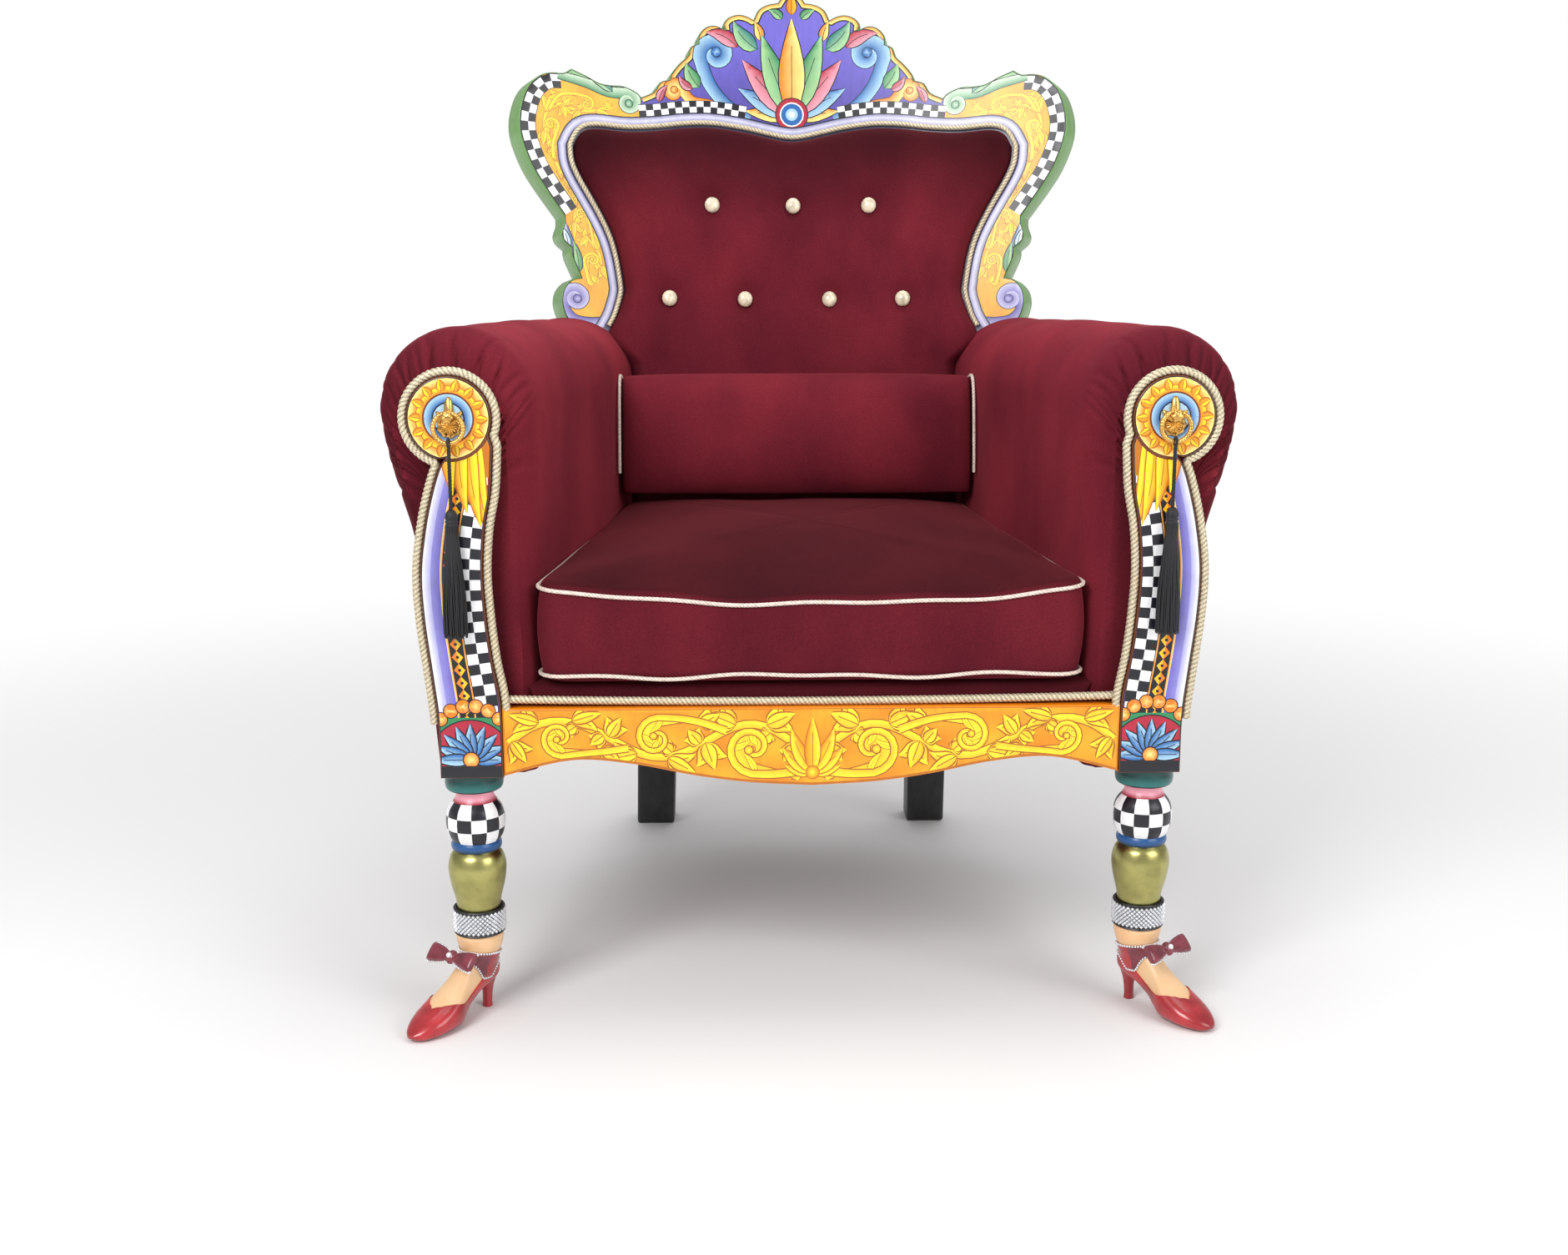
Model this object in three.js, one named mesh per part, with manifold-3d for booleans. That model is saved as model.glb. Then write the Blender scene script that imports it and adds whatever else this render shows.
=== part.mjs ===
// A ceremonial armchair, or throne: a curved back board with a sawn crest and wings, a buttoned velvet back,
// rolled velvet arms behind painted front panels with tasselled ring pulls, a loose seat cushion and a lumbar
// cushion, a serpentine apron, and turned front legs that end in feet wearing heeled shoes.
// Millimetres, +Z up. The throne faces -Y, and +X is on the right of someone who looks at its front.

import * as THREE from "three";
import { mergeVertices } from "three/addons/utils/BufferGeometryUtils.js";
import Module from "manifold-3d";

const wasm = await Module();
wasm.setup();

// Driving dimensions

const GAP = 0.5; // clearance between neighbouring pieces
const CORD_D = 9.5; // braided trim on the arms and the apron
const PIPING_D = 7; // plain piping on the cushions

// Carcass
const ARM_X = 402; // middle of a scroll, from the plane of symmetry
const SCROLL_Z = 711;
const PANEL_T = 24; // thickness of an arm's front panel
const BLOCK_BOTTOM_Z = 300; // underside of the carcass at the front legs
const BLOCK_IN_X = 355; // edges of the square block at the foot of a panel
const BLOCK_OUT_X = 427;
const PANEL_SCROLL_R = 46.5;

const ARM_ROLL_R = 90;
const ARM_ROLL_Z = 720;
const ARM_TOE_IN = 0.0926; // how far an arm comes inwards for each millimetre towards the back
const ARM_BACK_Y = 760; // beyond the back board, which trims the arms

const APRON_TOP_Z = 381;
const APRON_T = 22;
const DECK_BOTTOM_Z = 322;
const DECK_TOP_Z = 405;
const DECK_FRONT_Y = 25;

// Back, drawn upright and then tilted about an axis across the face at PIVOT
const BACK_R = 820; // the face is a hollow cylinder with an upright axis
const BACK_T = 44;
const BACK_TILT = THREE.MathUtils.degToRad(7);
const PIVOT = { y: 690, z: 800 };
const SLAB = 50; // width of the flat facets that stand for the curve
const SLABS_EACH_SIDE = 10;
const BACK_BOTTOM_Z = 330;
const PAD_BOTTOM_Z = 420;
const PAD_CROWN = 46;
const BUTTON_R = 11.5;
const BUTTON_ROWS = [
  { z: 966, xs: [-124, 0, 116] },
  { z: 830, xs: [-190, -75, 56, 168] },
];

// Cushions
const SEAT_BOTTOM_Z = 408;
const SEAT_EDGE_H = 98;
const SEAT_CROWN = 34;
const SEAT_RISE = 42; // the top edge climbs towards the back
const SEAT_CORNER_LIFT = 16; // and curls up at the front corners
const SEAT_FRONT_Y = 14;
const SEAT_BACK_Y = 566;
const SEAT_FRONT_HALF = 311;
const SEAT_BACK_HALF = 242;
const LUMBAR = { halfWidth: 245, height: 178, thickness: 104, y: 530, z: 642, lean: 10 };

// Legs
const LEG_X = 395;
const LEG_Y = 40;
const LEG_BOTTOM_Z = 112;
const CUFF = { bottom: 101, top: 132, outer: 32, inner: 26.8 };
const BACK_LEG = { width: 60, topX: 205, topY: 640, bottomX: 219, bottomY: 776 };

// Feet and shoes. t runs from the heel tip towards the toe, z up, and half is half of the width.
const FOOT_TURN = THREE.MathUtils.degToRad(35.4);
const HEEL_TIP = { x: 391, y: 50 };

// Ring pulls and tassels
const PULL_X = 401;
const PULL_Z = 703;
const RING_R = 16.5;
const RING_TUBE_R = 2.7;
const RING_Y = -10.5;
const RING_Z = PULL_Z - 2;
const POST_R = 3.4;
const TASSEL_CORD_D = 4.5;
const TASSEL_HEAD_TOP_Z = 612;
const TASSEL_BOTTOM_Z = 468;

// Colours, as the photo shows them

const paint = (color, roughness = 0.35, metalness = 0) =>
  new THREE.MeshStandardMaterial({ color, roughness, metalness });
const FINISH = {
  velvet: paint(0x5a1220, 0.95),
  gold: paint(0xe8a51d),
  cord: paint(0xc9b48a, 0.45, 0.6),
  piping: paint(0xd8c3a0, 0.5, 0.2),
  button: paint(0xeadfc0, 0.4, 0.2),
  brass: paint(0xd0a040, 0.25, 1),
  black: paint(0x161616, 0.6),
  ebony: paint(0x1b1b1c, 0.5),
  legGold: paint(0xa8954a, 0.25, 0.9),
  crystal: paint(0xc8c8cc, 0.2, 0.7),
  shoe: paint(0xb0222a, 0.2),
  bow: paint(0x7d1c33, 0.2),
};

const throne = new THREE.Group();
const back = new THREE.Group();
throne.add(back);

function add(name, geometry, finish, parent = throne) {
  const mesh = new THREE.Mesh(geometry, FINISH[finish]);
  mesh.name = name;
  parent.add(mesh);
  return mesh;
}

// Solids

function solidOf(geometry) {
  const bare = geometry.index ? geometry.toNonIndexed() : geometry.clone();
  bare.deleteAttribute("normal");
  bare.deleteAttribute("uv");
  const merged = mergeVertices(bare, 1e-4);
  return new wasm.Manifold(
    new wasm.Mesh({
      numProp: 3,
      vertProperties: new Float32Array(merged.attributes.position.array),
      triVerts: new Uint32Array(merged.index.array),
    }),
  );
}

function geometryOf(solid) {
  const mesh = solid.getMesh();
  return new THREE.BufferGeometry()
    .setAttribute("position", new THREE.BufferAttribute(mesh.vertProperties, 3))
    .setIndex(new THREE.BufferAttribute(mesh.triVerts, 1));
}

// An upright outline in X and Z, extruded from y0 back to y1.
function slab(outline, y0, y1) {
  const shape = new THREE.Shape(outline);
  const made = new THREE.ExtrudeGeometry(shape, { depth: y1 - y0, bevelEnabled: false, steps: 1 });
  return made.rotateX(Math.PI / 2).translate(0, y1, 0);
}

// A closed skin over rings of equally many points, each end capped from its middle. Rings run so that
// the skin faces out: anticlockwise as seen from beyond the last ring.
function loft(rings) {
  const count = rings[0].length;
  const points = rings.flat();
  const faces = [];
  for (let r = 0; r + 1 < rings.length; r++) {
    for (let i = 0; i < count; i++) {
      const a = r * count + i;
      const b = r * count + ((i + 1) % count);
      faces.push(a, b, b + count, a, b + count, a + count);
    }
  }
  const capMiddle = (ring) =>
    ring.reduce((sum, p) => sum.add(p), new THREE.Vector3()).divideScalar(count);
  const first = points.push(capMiddle(rings[0])) - 1;
  const last = points.push(capMiddle(rings.at(-1))) - 1;
  const lastRing = (rings.length - 1) * count;
  for (let i = 0; i < count; i++) {
    const next = (i + 1) % count;
    faces.push(first, next, i, last, lastRing + i, lastRing + next);
  }
  return new THREE.BufferGeometry().setFromPoints(points).setIndex(faces);
}

// Round sections along a run of points. The guide is any direction that the run never takes.
const TUBE_SIDES = 6;
function tubeRings(points, diameter, guide, closed) {
  const last = points.length - 1;
  return points.map((p, i) => {
    const before = points[i > 0 ? i - 1 : closed ? last : 0];
    const after = points[i < last ? i + 1 : closed ? 0 : last];
    const along = new THREE.Vector3().subVectors(after, before).normalize();
    const u = new THREE.Vector3().crossVectors(guide, along).normalize();
    const v = new THREE.Vector3().crossVectors(along, u);
    return Array.from({ length: TUBE_SIDES }, (_, k) => {
      const a = (Math.PI * 2 * k) / TUBE_SIDES;
      const r = diameter / 2;
      return p.clone().addScaledVector(u, r * Math.cos(a)).addScaledVector(v, r * Math.sin(a));
    });
  });
}

function tube(points, diameter, guide) {
  return loft(tubeRings(points, diameter, guide, false));
}

function closedTube(points, diameter, guide) {
  const rings = tubeRings(points, diameter, guide, true);
  const faces = [];
  rings.forEach((_, r) => {
    const next = ((r + 1) % rings.length) * TUBE_SIDES;
    for (let k = 0; k < TUBE_SIDES; k++) {
      const a = r * TUBE_SIDES;
      const l = (k + 1) % TUBE_SIDES;
      faces.push(a + k, a + l, next + l, a + k, next + l, next + k);
    }
  });
  return new THREE.BufferGeometry().setFromPoints(rings.flat()).setIndex(faces);
}

const X_AXIS = new THREE.Vector3(1, 0, 0);
const Y_AXIS = new THREE.Vector3(0, 1, 0);
const Z_AXIS = new THREE.Vector3(0, 0, 1);

// A turned piece about an upright axis at x, y. The profile lists [radius, z] from the bottom up.
function turned(profile, x, y, sides) {
  const points = profile.map(([r, z]) => new THREE.Vector2(r, z));
  return new THREE.LatheGeometry(points, sides).rotateX(Math.PI / 2).translate(x, y, 0);
}

// A smooth run through hand-placed points, as [x, z] pairs.
function smooth(run, perSpan = 3) {
  const curve = new THREE.SplineCurve(run.map(([x, z]) => new THREE.Vector2(x, z)));
  return curve.getPoints((run.length - 1) * perSpan);
}

// Smooth runs joined at sharp corners.
function outlineOf(runs, perSpan = 3) {
  return runs.flatMap((run, i) => smooth(run, perSpan).slice(i ? 1 : 0));
}

// A line moved to its left by a distance, as seen along it in X and Z.
function offsetLine(line, distance) {
  return line.map((p, i) => {
    const before = line[Math.max(i - 1, 0)];
    const after = line[Math.min(i + 1, line.length - 1)];
    const along = new THREE.Vector2().subVectors(after, before).normalize();
    return new THREE.Vector2(p.x - along.y * distance, p.y + along.x * distance);
  });
}

// The half outline on the +X side, from the middle of the top down to the bottom, and its mirror image.
function mirrored(half) {
  const other = half
    .filter((p) => Math.abs(p.x) > 1e-6)
    .map((p) => new THREE.Vector2(-p.x, p.y))
    .reverse();
  return [...half, ...other].reverse();
}

const flip = (geometry, side) => {
  if (side > 0) return geometry;
  const plain = geometry.index ? geometry.toNonIndexed() : geometry.clone();
  plain.scale(-1, 1, 1);
  const position = plain.attributes.position;
  for (let i = 0; i < position.count; i += 3) {
    const b = new THREE.Vector3().fromBufferAttribute(position, i + 1);
    const c = new THREE.Vector3().fromBufferAttribute(position, i + 2);
    position.setXYZ(i + 1, c.x, c.y, c.z);
    position.setXYZ(i + 2, b.x, b.y, b.z);
  }
  return plain;
};

// The curved back

// In the flat drawing of the back, x is across, y is how far behind the face, and z is up the face.
function facetCorner(index, depth) {
  const angle = Math.asin((index * SLAB) / BACK_R);
  const r = BACK_R + depth;
  return [r * Math.sin(angle), r * Math.cos(angle) - BACK_R];
}

function bentPoint(x, depth) {
  const cell = Math.floor(x / SLAB);
  const share = x / SLAB - cell;
  const [x0, y0] = facetCorner(cell, depth);
  if (share === 0) return [x0, y0];
  const [x1, y1] = facetCorner(cell + 1, depth);
  return [x0 + (x1 - x0) * share, y0 + (y1 - y0) * share];
}

// Neighbouring facets meet in the same rounded points, so that they join without a seam.
function bent(geometry) {
  const flat = solidOf(geometry);
  const rounded = (value) => Math.round(value * 200) / 200;
  let whole = null;
  for (let i = -SLABS_EACH_SIDE; i < SLABS_EACH_SIDE; i++) {
    const knife = new THREE.BoxGeometry(SLAB, 1000, 3000).translate((i + 0.5) * SLAB, 0, 0);
    const strip = flat.intersect(solidOf(knife));
    if (strip.isEmpty()) continue;
    const part = geometryOf(strip);
    const position = part.attributes.position;
    for (let v = 0; v < position.count; v++) {
      const [bx, by] = bentPoint(rounded(position.getX(v)), rounded(position.getY(v)));
      position.setXYZ(v, bx, by, rounded(position.getZ(v)));
    }
    const solid = solidOf(part);
    whole = whole ? whole.add(solid) : solid;
  }
  return geometryOf(whole);
}

// Everything drawn on the back is set in this place and tilt.
back.position.set(0, PIVOT.y, PIVOT.z);
back.rotation.x = -BACK_TILT;
back.updateMatrixWorld(true);
const onBack = (geometry) => geometry.translate(0, 0, -PIVOT.z);

// Crest, leaf, wing, scallops and foot volute, then the hidden flank behind an arm.
const BOARD_HALF = outlineOf([
  [[0, 1290], [11, 1281], [20, 1268]],
  [[20, 1268], [36, 1265], [49, 1257], [56, 1243]],
  [[56, 1243], [66, 1248], [79, 1250], [93, 1245], [101, 1235], [98, 1227]],
  [[98, 1227], [112, 1233], [126, 1230], [137, 1218], [138, 1206]],
  [[138, 1206], [149, 1200], [153, 1188], [166, 1175], [177, 1161], [180, 1152]],
  [[180, 1152], [194, 1147], [203, 1133], [221, 1124]],
  [[221, 1124], [228, 1131], [246, 1138], [265, 1138], [281, 1140], [298, 1148], [319, 1156]],
  [[319, 1156], [330, 1149], [346, 1148], [362, 1142], [378, 1125], [387, 1102], [391, 1076],
    [388, 1050], [375, 1014], [356, 982], [332, 947]],
  [[332, 947], [332, 936], [336, 922], [333, 911], [323, 902]],
  [[323, 902], [322, 890], [314, 870], [310, 860]],
  [[310, 860], [323, 856], [334, 842], [337, 824], [333, 806], [325, 792]],
  [[325, 792], [345, 772], [378, 748], [402, 706], [404, 660], [388, 590], [378, 520], [374, 430],
    [368, BACK_BOTTOM_Z]],
], 2);
const boardOutline = mirrored([...BOARD_HALF, new THREE.Vector2(0, BACK_BOTTOM_Z)]);
add("back_board", onBack(bent(slab(boardOutline, 0, BACK_T))), "gold", back);

// Upholstered inside back: its edge follows the braid, and its face swells to a crown.
const PAD_TOP = [[0, 1065], [18, 1067], [47, 1073], [76, 1079], [120, 1084], [160, 1082], [200, 1076],
  [243, 1072], [287, 1073], [307, 1066], [318, 1046]];
const PAD_FLANK = [[318, 1046], [316, 1025], [307, 1004], [292, 978], [277, 951], [264, 923], [256, 896],
  [251, 868], [248, 845], [246, 826]];
const PAD_HALF_WIDTH = 245; // below the flanks, between the arms
const PAD_MIDDLE_Z = 745;
const PAD_EDGE_T = 14;
const padTopLine = smooth(PAD_TOP);
const padFlankLine = smooth(PAD_FLANK).reverse();
const padEdge = smooth([...PAD_TOP, ...PAD_FLANK.slice(1)], 1);
const padHalf = [...padEdge, new THREE.Vector2(PAD_HALF_WIDTH, PAD_BOTTOM_Z)];
const padOutline = mirrored([...padHalf, new THREE.Vector2(0, PAD_BOTTOM_Z)]);

// Height of a line at x, where the line runs outwards.
function heightOn(line, x) {
  const next = Math.max(1, line.findIndex((p) => p.x >= x));
  const [p, q] = [line[next - 1], line[next]];
  return p.y + ((q.y - p.y) * (x - p.x)) / (q.x - p.x);
}

// How far the pad stands proud of the face at a place on it.
function padDepthAt(x, z) {
  const across = 1 - (x / 318) ** 2;
  const up = 1 - Math.abs((z - PAD_MIDDLE_Z) / 340) ** 3;
  return PAD_EDGE_T + (PAD_CROWN - PAD_EDGE_T) * Math.sqrt(Math.max(0, across * up));
}

function padSection(x) {
  const steps = 7;
  const reach = Math.abs(x);
  const top = heightOn(padTopLine, reach);
  const foot = reach <= PAD_HALF_WIDTH ? PAD_BOTTOM_Z : heightOn(padFlankLine, reach);
  const line = (depthAt) => Array.from({ length: steps + 1 }, (_, i) => {
    const z = foot + ((top - foot) * (1 - Math.cos((Math.PI * i) / steps))) / 2;
    const [bx, by] = bentPoint(x, -depthAt(z, i));
    return new THREE.Vector3(bx, by, z);
  });
  const edge = (z, i) => (i === 0 || i === steps ? PAD_EDGE_T : padDepthAt(x, z));
  return [...line(edge).reverse(), ...line(() => GAP)];
}
const PAD_STATIONS = [0, 50, 100, 150, 200, PAD_HALF_WIDTH, 246.2, 250, 270, 292, 308, 317.5];
const padStations = [...PAD_STATIONS.slice(1).map((x) => -x).reverse(), ...PAD_STATIONS];
add("back_pad", onBack(loft(padStations.map(padSection))), "velvet", back);

// Braid round the inside back. It starts at one arm, goes over the top and ends at the other.
const BRAID_FOOT = [[250, 832], [258, 806], [267, 788]];
const braidHalf = [
  ...offsetLine(padEdge.slice(0, -1), CORD_D / 2 + GAP + 2.2),
  ...BRAID_FOOT.map(([x, z]) => new THREE.Vector2(x + CORD_D / 2 + 2, z)),
];
braidHalf[0].x = 0;
const braidPath = [...braidHalf.slice(1).map((p) => new THREE.Vector2(-p.x, p.y)).reverse(), ...braidHalf]
  .map((p) => {
    const [x, y] = bentPoint(p.x, -CORD_D / 2 - GAP - 0.6);
    return new THREE.Vector3(x, y, p.y);
  });
add("back_braid", onBack(tube(braidPath, CORD_D, Y_AXIS)), "cord", back);

// Buttons, each a low dome sunk a little into the crown of the pad.
let buttonNumber = 0;
for (const row of BUTTON_ROWS) {
  for (const x of row.xs) {
    buttonNumber += 1;
    const depth = padDepthAt(x, row.z) + 4;
    const dome = turned([[0, 0], [BUTTON_R, 0], [BUTTON_R, 3], [BUTTON_R * 0.7, 7], [0, 8.5]], 0, 0, 10);
    const [bx, by] = bentPoint(x, -depth);
    const angle = Math.asin(x / BACK_R);
    dome.rotateX(Math.PI / 2).rotateZ(-angle).translate(bx, by, row.z);
    add(`back_button_${buttonNumber}`, onBack(dome), "button", back);
  }
}

// Plain upholstered outside back.
const OUTSIDE_T = 11;
const OUTSIDE_HALF = outlineOf([
  [[0, 1052], [120, 1066], [230, 1058], [292, 1046], [303, 1018], [280, 962], [262, 900], [270, 800],
    [300, 740], [316, 680], [312, 560], [304, 372]],
], 2);
const outsideOutline = mirrored([...OUTSIDE_HALF, new THREE.Vector2(0, 372)]);
const outsideFlat = slab(outsideOutline, BACK_T + GAP, BACK_T + OUTSIDE_T);
add("outside_back", onBack(bent(outsideFlat)), "velvet", back);

// A block that fills all the space behind the face of the back, to trim what butts against it.
const behindOutline = [[-480, 200], [480, 200], [480, 1400], [-480, 1400]].map(
  ([x, z]) => new THREE.Vector2(x, z),
);
const behind = onBack(bent(slab(behindOutline, -GAP, 260))).applyMatrix4(back.matrixWorld);
const behindSolid = solidOf(behind);
const padKnife = onBack(bent(slab(padOutline.map((p) => new THREE.Vector2(p.x * 1.004, p.y)), -62, 20)));
const padKnifeSolid = solidOf(padKnife.applyMatrix4(back.matrixWorld));

// Arms

// Section of an arm in [outwards, z] from the middle of the roll, at its full size.
function armSection() {
  const outer = [[36, BLOCK_BOTTOM_Z], [44, 400], [50, 500], [56, 570], [70, 622], [84, 676]];
  const section = outer.map(([o, z]) => [o, z]);
  const steps = 11;
  for (let i = 0; i <= steps; i++) {
    const a = (Math.PI * i) / steps;
    section.push([ARM_ROLL_R * Math.cos(a), ARM_ROLL_Z + ARM_ROLL_R * Math.sin(a)]);
  }
  section.push([-90, 620], [-90, 500], [-89, 400], [-88, BLOCK_BOTTOM_Z]);
  return section.reverse();
}

const ARM_FRONT_Y = PANEL_T + GAP;
const armMiddleX = (y) => ARM_X - ARM_TOE_IN * (y - PANEL_T);

// The cover is drawn in where it is gathered on to the front panel.
const ARM_STATIONS = [[ARM_FRONT_Y, 0.74], [ARM_FRONT_Y + 8, 0.86], [ARM_FRONT_Y + 26, 0.95],
  [ARM_FRONT_Y + 66, 1], [260, 1], [490, 1], [ARM_BACK_Y, 1]];
const ARM_IN_FRONT = 80; // the inner face, outwards from the middle of the seat, at the front
const ARM_IN_BACK = 97; // and from halfway to the back

// Half thickness of an arm towards the seat.
function armInner(y) {
  const share = Math.min(Math.max((y - PANEL_T) / 466, 0), 1);
  return ARM_IN_FRONT + (ARM_IN_BACK - ARM_IN_FRONT) * share;
}

function armRing(y, fullness) {
  return armSection().map(([o, z]) => {
    const drawnZ = z > ARM_ROLL_Z - 100 ? ARM_ROLL_Z - 100 + (z - ARM_ROLL_Z + 100) * fullness : z;
    const reach = o < 0 ? armInner(y) / ARM_ROLL_R : 1;
    const drawnO = z > BLOCK_BOTTOM_Z + 20 ? o * fullness : o * Math.min(1, fullness + 0.05);
    return new THREE.Vector3(armMiddleX(y) + drawnO * reach, y, drawnZ);
  });
}

function armGeometry() {
  const whole = solidOf(loft(ARM_STATIONS.map(([y, fullness]) => armRing(y, fullness))));
  return geometryOf(whole.subtract(behindSolid));
}

// Front panel of an arm in [x, z], inside its edging cord: block, swelling post and scroll.
const PANEL_INNER = [[BLOCK_IN_X, BLOCK_BOTTOM_Z], [BLOCK_IN_X, 372], [357, 400], [364, 440], [369, 490],
  [371, 540], [367, 590], [359, 632], [355.5, 680]];
const PANEL_OUTER = [[407, 668], [415, 655], [424, 628], [433, 590], [440, 541], [439, 488], [432, 420],
  [BLOCK_OUT_X, 366], [BLOCK_OUT_X, BLOCK_BOTTOM_Z]];

function scrollArc(radius) {
  const first = Math.PI * 1.13;
  const last = -Math.PI * 0.42;
  const steps = 18;
  return Array.from({ length: steps + 1 }, (_, i) => {
    const a = first + ((last - first) * i) / steps;
    return new THREE.Vector2(ARM_X + radius * Math.cos(a), SCROLL_Z + radius * Math.sin(a));
  });
}

const panelOutline = [
  ...smooth(PANEL_INNER, 1),
  ...scrollArc(PANEL_SCROLL_R),
  ...smooth(PANEL_OUTER, 2),
];

// The edging cord follows the panel's edge from the apron over the scroll and down the outside.
const NOTCH = new THREE.Vector2(410, 666); // where the scroll meets the post
function edgingCord() {
  const edge = panelOutline.filter((p) => p.y > 376 && p.distanceTo(NOTCH) > 9);
  const path = offsetLine(edge, CORD_D / 2 + GAP).map((p) => new THREE.Vector3(p.x, CORD_D / 2 + 1, p.y));
  return tube(path, CORD_D, Y_AXIS);
}

// Ring pulls and tassels

function pullPlate() {
  const crownPoints = [];
  const lobes = 5;
  const steps = 20;
  for (let i = 0; i <= steps; i++) {
    const a = (Math.PI * i) / steps;
    const r = 17 + 3 * Math.abs(Math.sin(lobes * a)) + 5 * Math.sin(a);
    crownPoints.push(new THREE.Vector2(r * 0.9 * Math.cos(a), 8 + r * Math.sin(a)));
  }
  const crown = solidOf(slab(crownPoints.reverse(), -3.5, -GAP));
  const dome = turned([[0, GAP], [14, GAP], [14, 2], [11, 4.5], [0, 5.5]], 0, 0, 12).rotateX(Math.PI / 2);
  const post = turned([[0, 1], [POST_R, 1], [POST_R, 15], [0, 15]], 0, 0, 8).rotateX(Math.PI / 2);
  post.translate(0, 0, RING_R - RING_TUBE_R - POST_R - 2.6);
  const flower = turned([[0, 14.2], [7, 14.2], [7, 16], [0, 18.5]], 0, 0, 10).rotateX(Math.PI / 2);
  flower.translate(0, 0, RING_R - RING_TUBE_R - POST_R - 0.6);
  const plate = crown.add(solidOf(dome)).add(solidOf(post)).add(solidOf(flower));
  return geometryOf(plate).translate(0, 0, PULL_Z);
}

function pullRing() {
  return new THREE.TorusGeometry(RING_R, RING_TUBE_R, 6, 16).rotateX(Math.PI / 2).translate(0, RING_Y, RING_Z);
}

// The tassel cord hangs straight from just under the ring to the tassel's head.
const CORD_TOP_Z = RING_Z - RING_R - RING_TUBE_R - GAP;
function tasselCord() {
  const top = new THREE.Vector3(0, RING_Y, CORD_TOP_Z);
  const bottom = new THREE.Vector3(0, RING_Y, TASSEL_HEAD_TOP_Z + GAP);
  const section = new THREE.Shape().absarc(0, 0, TASSEL_CORD_D / 2, 0, Math.PI * 2);
  const steps = Math.round((top.z - bottom.z) / (2.5 * TASSEL_CORD_D));
  const extrudePath = new THREE.LineCurve3(top, bottom);
  return new THREE.ExtrudeGeometry(section, { extrudePath, steps, curveSegments: 4 });
}
// A tassel lies against the panel, so it is a little flatter from front to back.
const TASSEL_PROFILE = [[0, TASSEL_BOTTOM_Z], [13, TASSEL_BOTTOM_Z], [12.2, 520], [9.5, 585], [6.2, 594],
  [7.6, 602], [5, 610], [0, TASSEL_HEAD_TOP_Z]];
const tasselGeometry = () => turned(TASSEL_PROFILE, 0, 0, 12).scale(1, 0.75, 1);

// Front legs, feet, shoes and bows

const LEG_PROFILE = [[0, LEG_BOTTOM_Z], [25.8, LEG_BOTTOM_Z], [25.8, 133], [27, 143], [32, 164],
  [34, 182], [31, 196], [26, 203], [29, 206], [29.5, 211], [28, 215], [32.5, 224], [34.5, 239], [32, 254],
  [25, 264], [22, 270], [23, 275], [32, 279], [34, 287], [33, 294], [33, BLOCK_BOTTOM_Z - GAP],
  [0, BLOCK_BOTTOM_Z - GAP]];

// Foot and shoe along t: underside, top and half width, as [t, bottom, top, half].
const FOOT_STATIONS = [
  [-13, 45, 62, 5], [-11, 40, 66, 12], [-4, 35, 72, 16.5], [8, 31, 76, 18], [20, 27, 78, 18],
  [31, 21, 74, 17.5], [42, 14, 65, 18], [54, 5, 54, 21.5], [65, 0, 45, 25.5], [79, 0, 36, 26.5],
  [95, 0, 28, 25], [109, 0, 21.5, 20], [120, 1.5, 14.5, 13], [126.5, 5, 9.5, 5],
];

// The ankle fills the leg's end inside the band, as [z, radius].
const ANKLE = [[58, 17], [70, 22], [84, 27], [95, 28.5], [CUFF.bottom - GAP, 28.2],
  [CUFF.bottom - GAP + 0.1, 25.8], [LEG_BOTTOM_Z - GAP, 25.8]];

function footRing([t, bottom, top, half]) {
  const sides = 10;
  const middle = (bottom + top) / 2;
  const tall = (top - bottom) / 2;
  return Array.from({ length: sides }, (_, i) => {
    const a = (-Math.PI * 2 * i) / sides;
    const square = 0.72;
    const c = Math.sign(Math.cos(a)) * Math.abs(Math.cos(a)) ** square;
    const s = Math.sign(Math.sin(a)) * Math.abs(Math.sin(a)) ** square;
    const narrowing = s > 0 && t > 20 ? 1 - 0.28 * s : 1;
    const flatSole = Math.max(-1, 1.06 * s);
    return new THREE.Vector3(half * c * narrowing, t, middle + tall * flatSole);
  });
}

function footGeometry() {
  const body = solidOf(loft(FOOT_STATIONS.map(footRing)));
  const heelRing = (t0, t1, half, z) => [
    new THREE.Vector3(-half, t0, z), new THREE.Vector3(half, t0, z),
    new THREE.Vector3(half * 0.8, t1, z), new THREE.Vector3(-half * 0.8, t1, z),
  ];
  const heel = solidOf(loft([
    heelRing(-5.5, 5.5, 6, 0), heelRing(-9, 6.5, 6.5, 24), heelRing(-12, 14, 12, 41), heelRing(-10, 12, 12, 50),
  ]));
  const shoe = placeFoot(geometryOf(body.add(heel)));
  const ends = [[0, ANKLE[0][0]], ...ANKLE.map(([z, r]) => [r, z]), [0, ANKLE.at(-1)[0]]];
  return geometryOf(solidOf(shoe).add(solidOf(turned(ends, LEG_X, LEG_Y, 12))));
}

// A bow across the instep: two loops that flare from a knot, on a strap that hugs the foot.
const BOW = { t: 46, z: 77, reach: 33, knot: 6.5, tilt: THREE.MathUtils.degToRad(42) };

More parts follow.
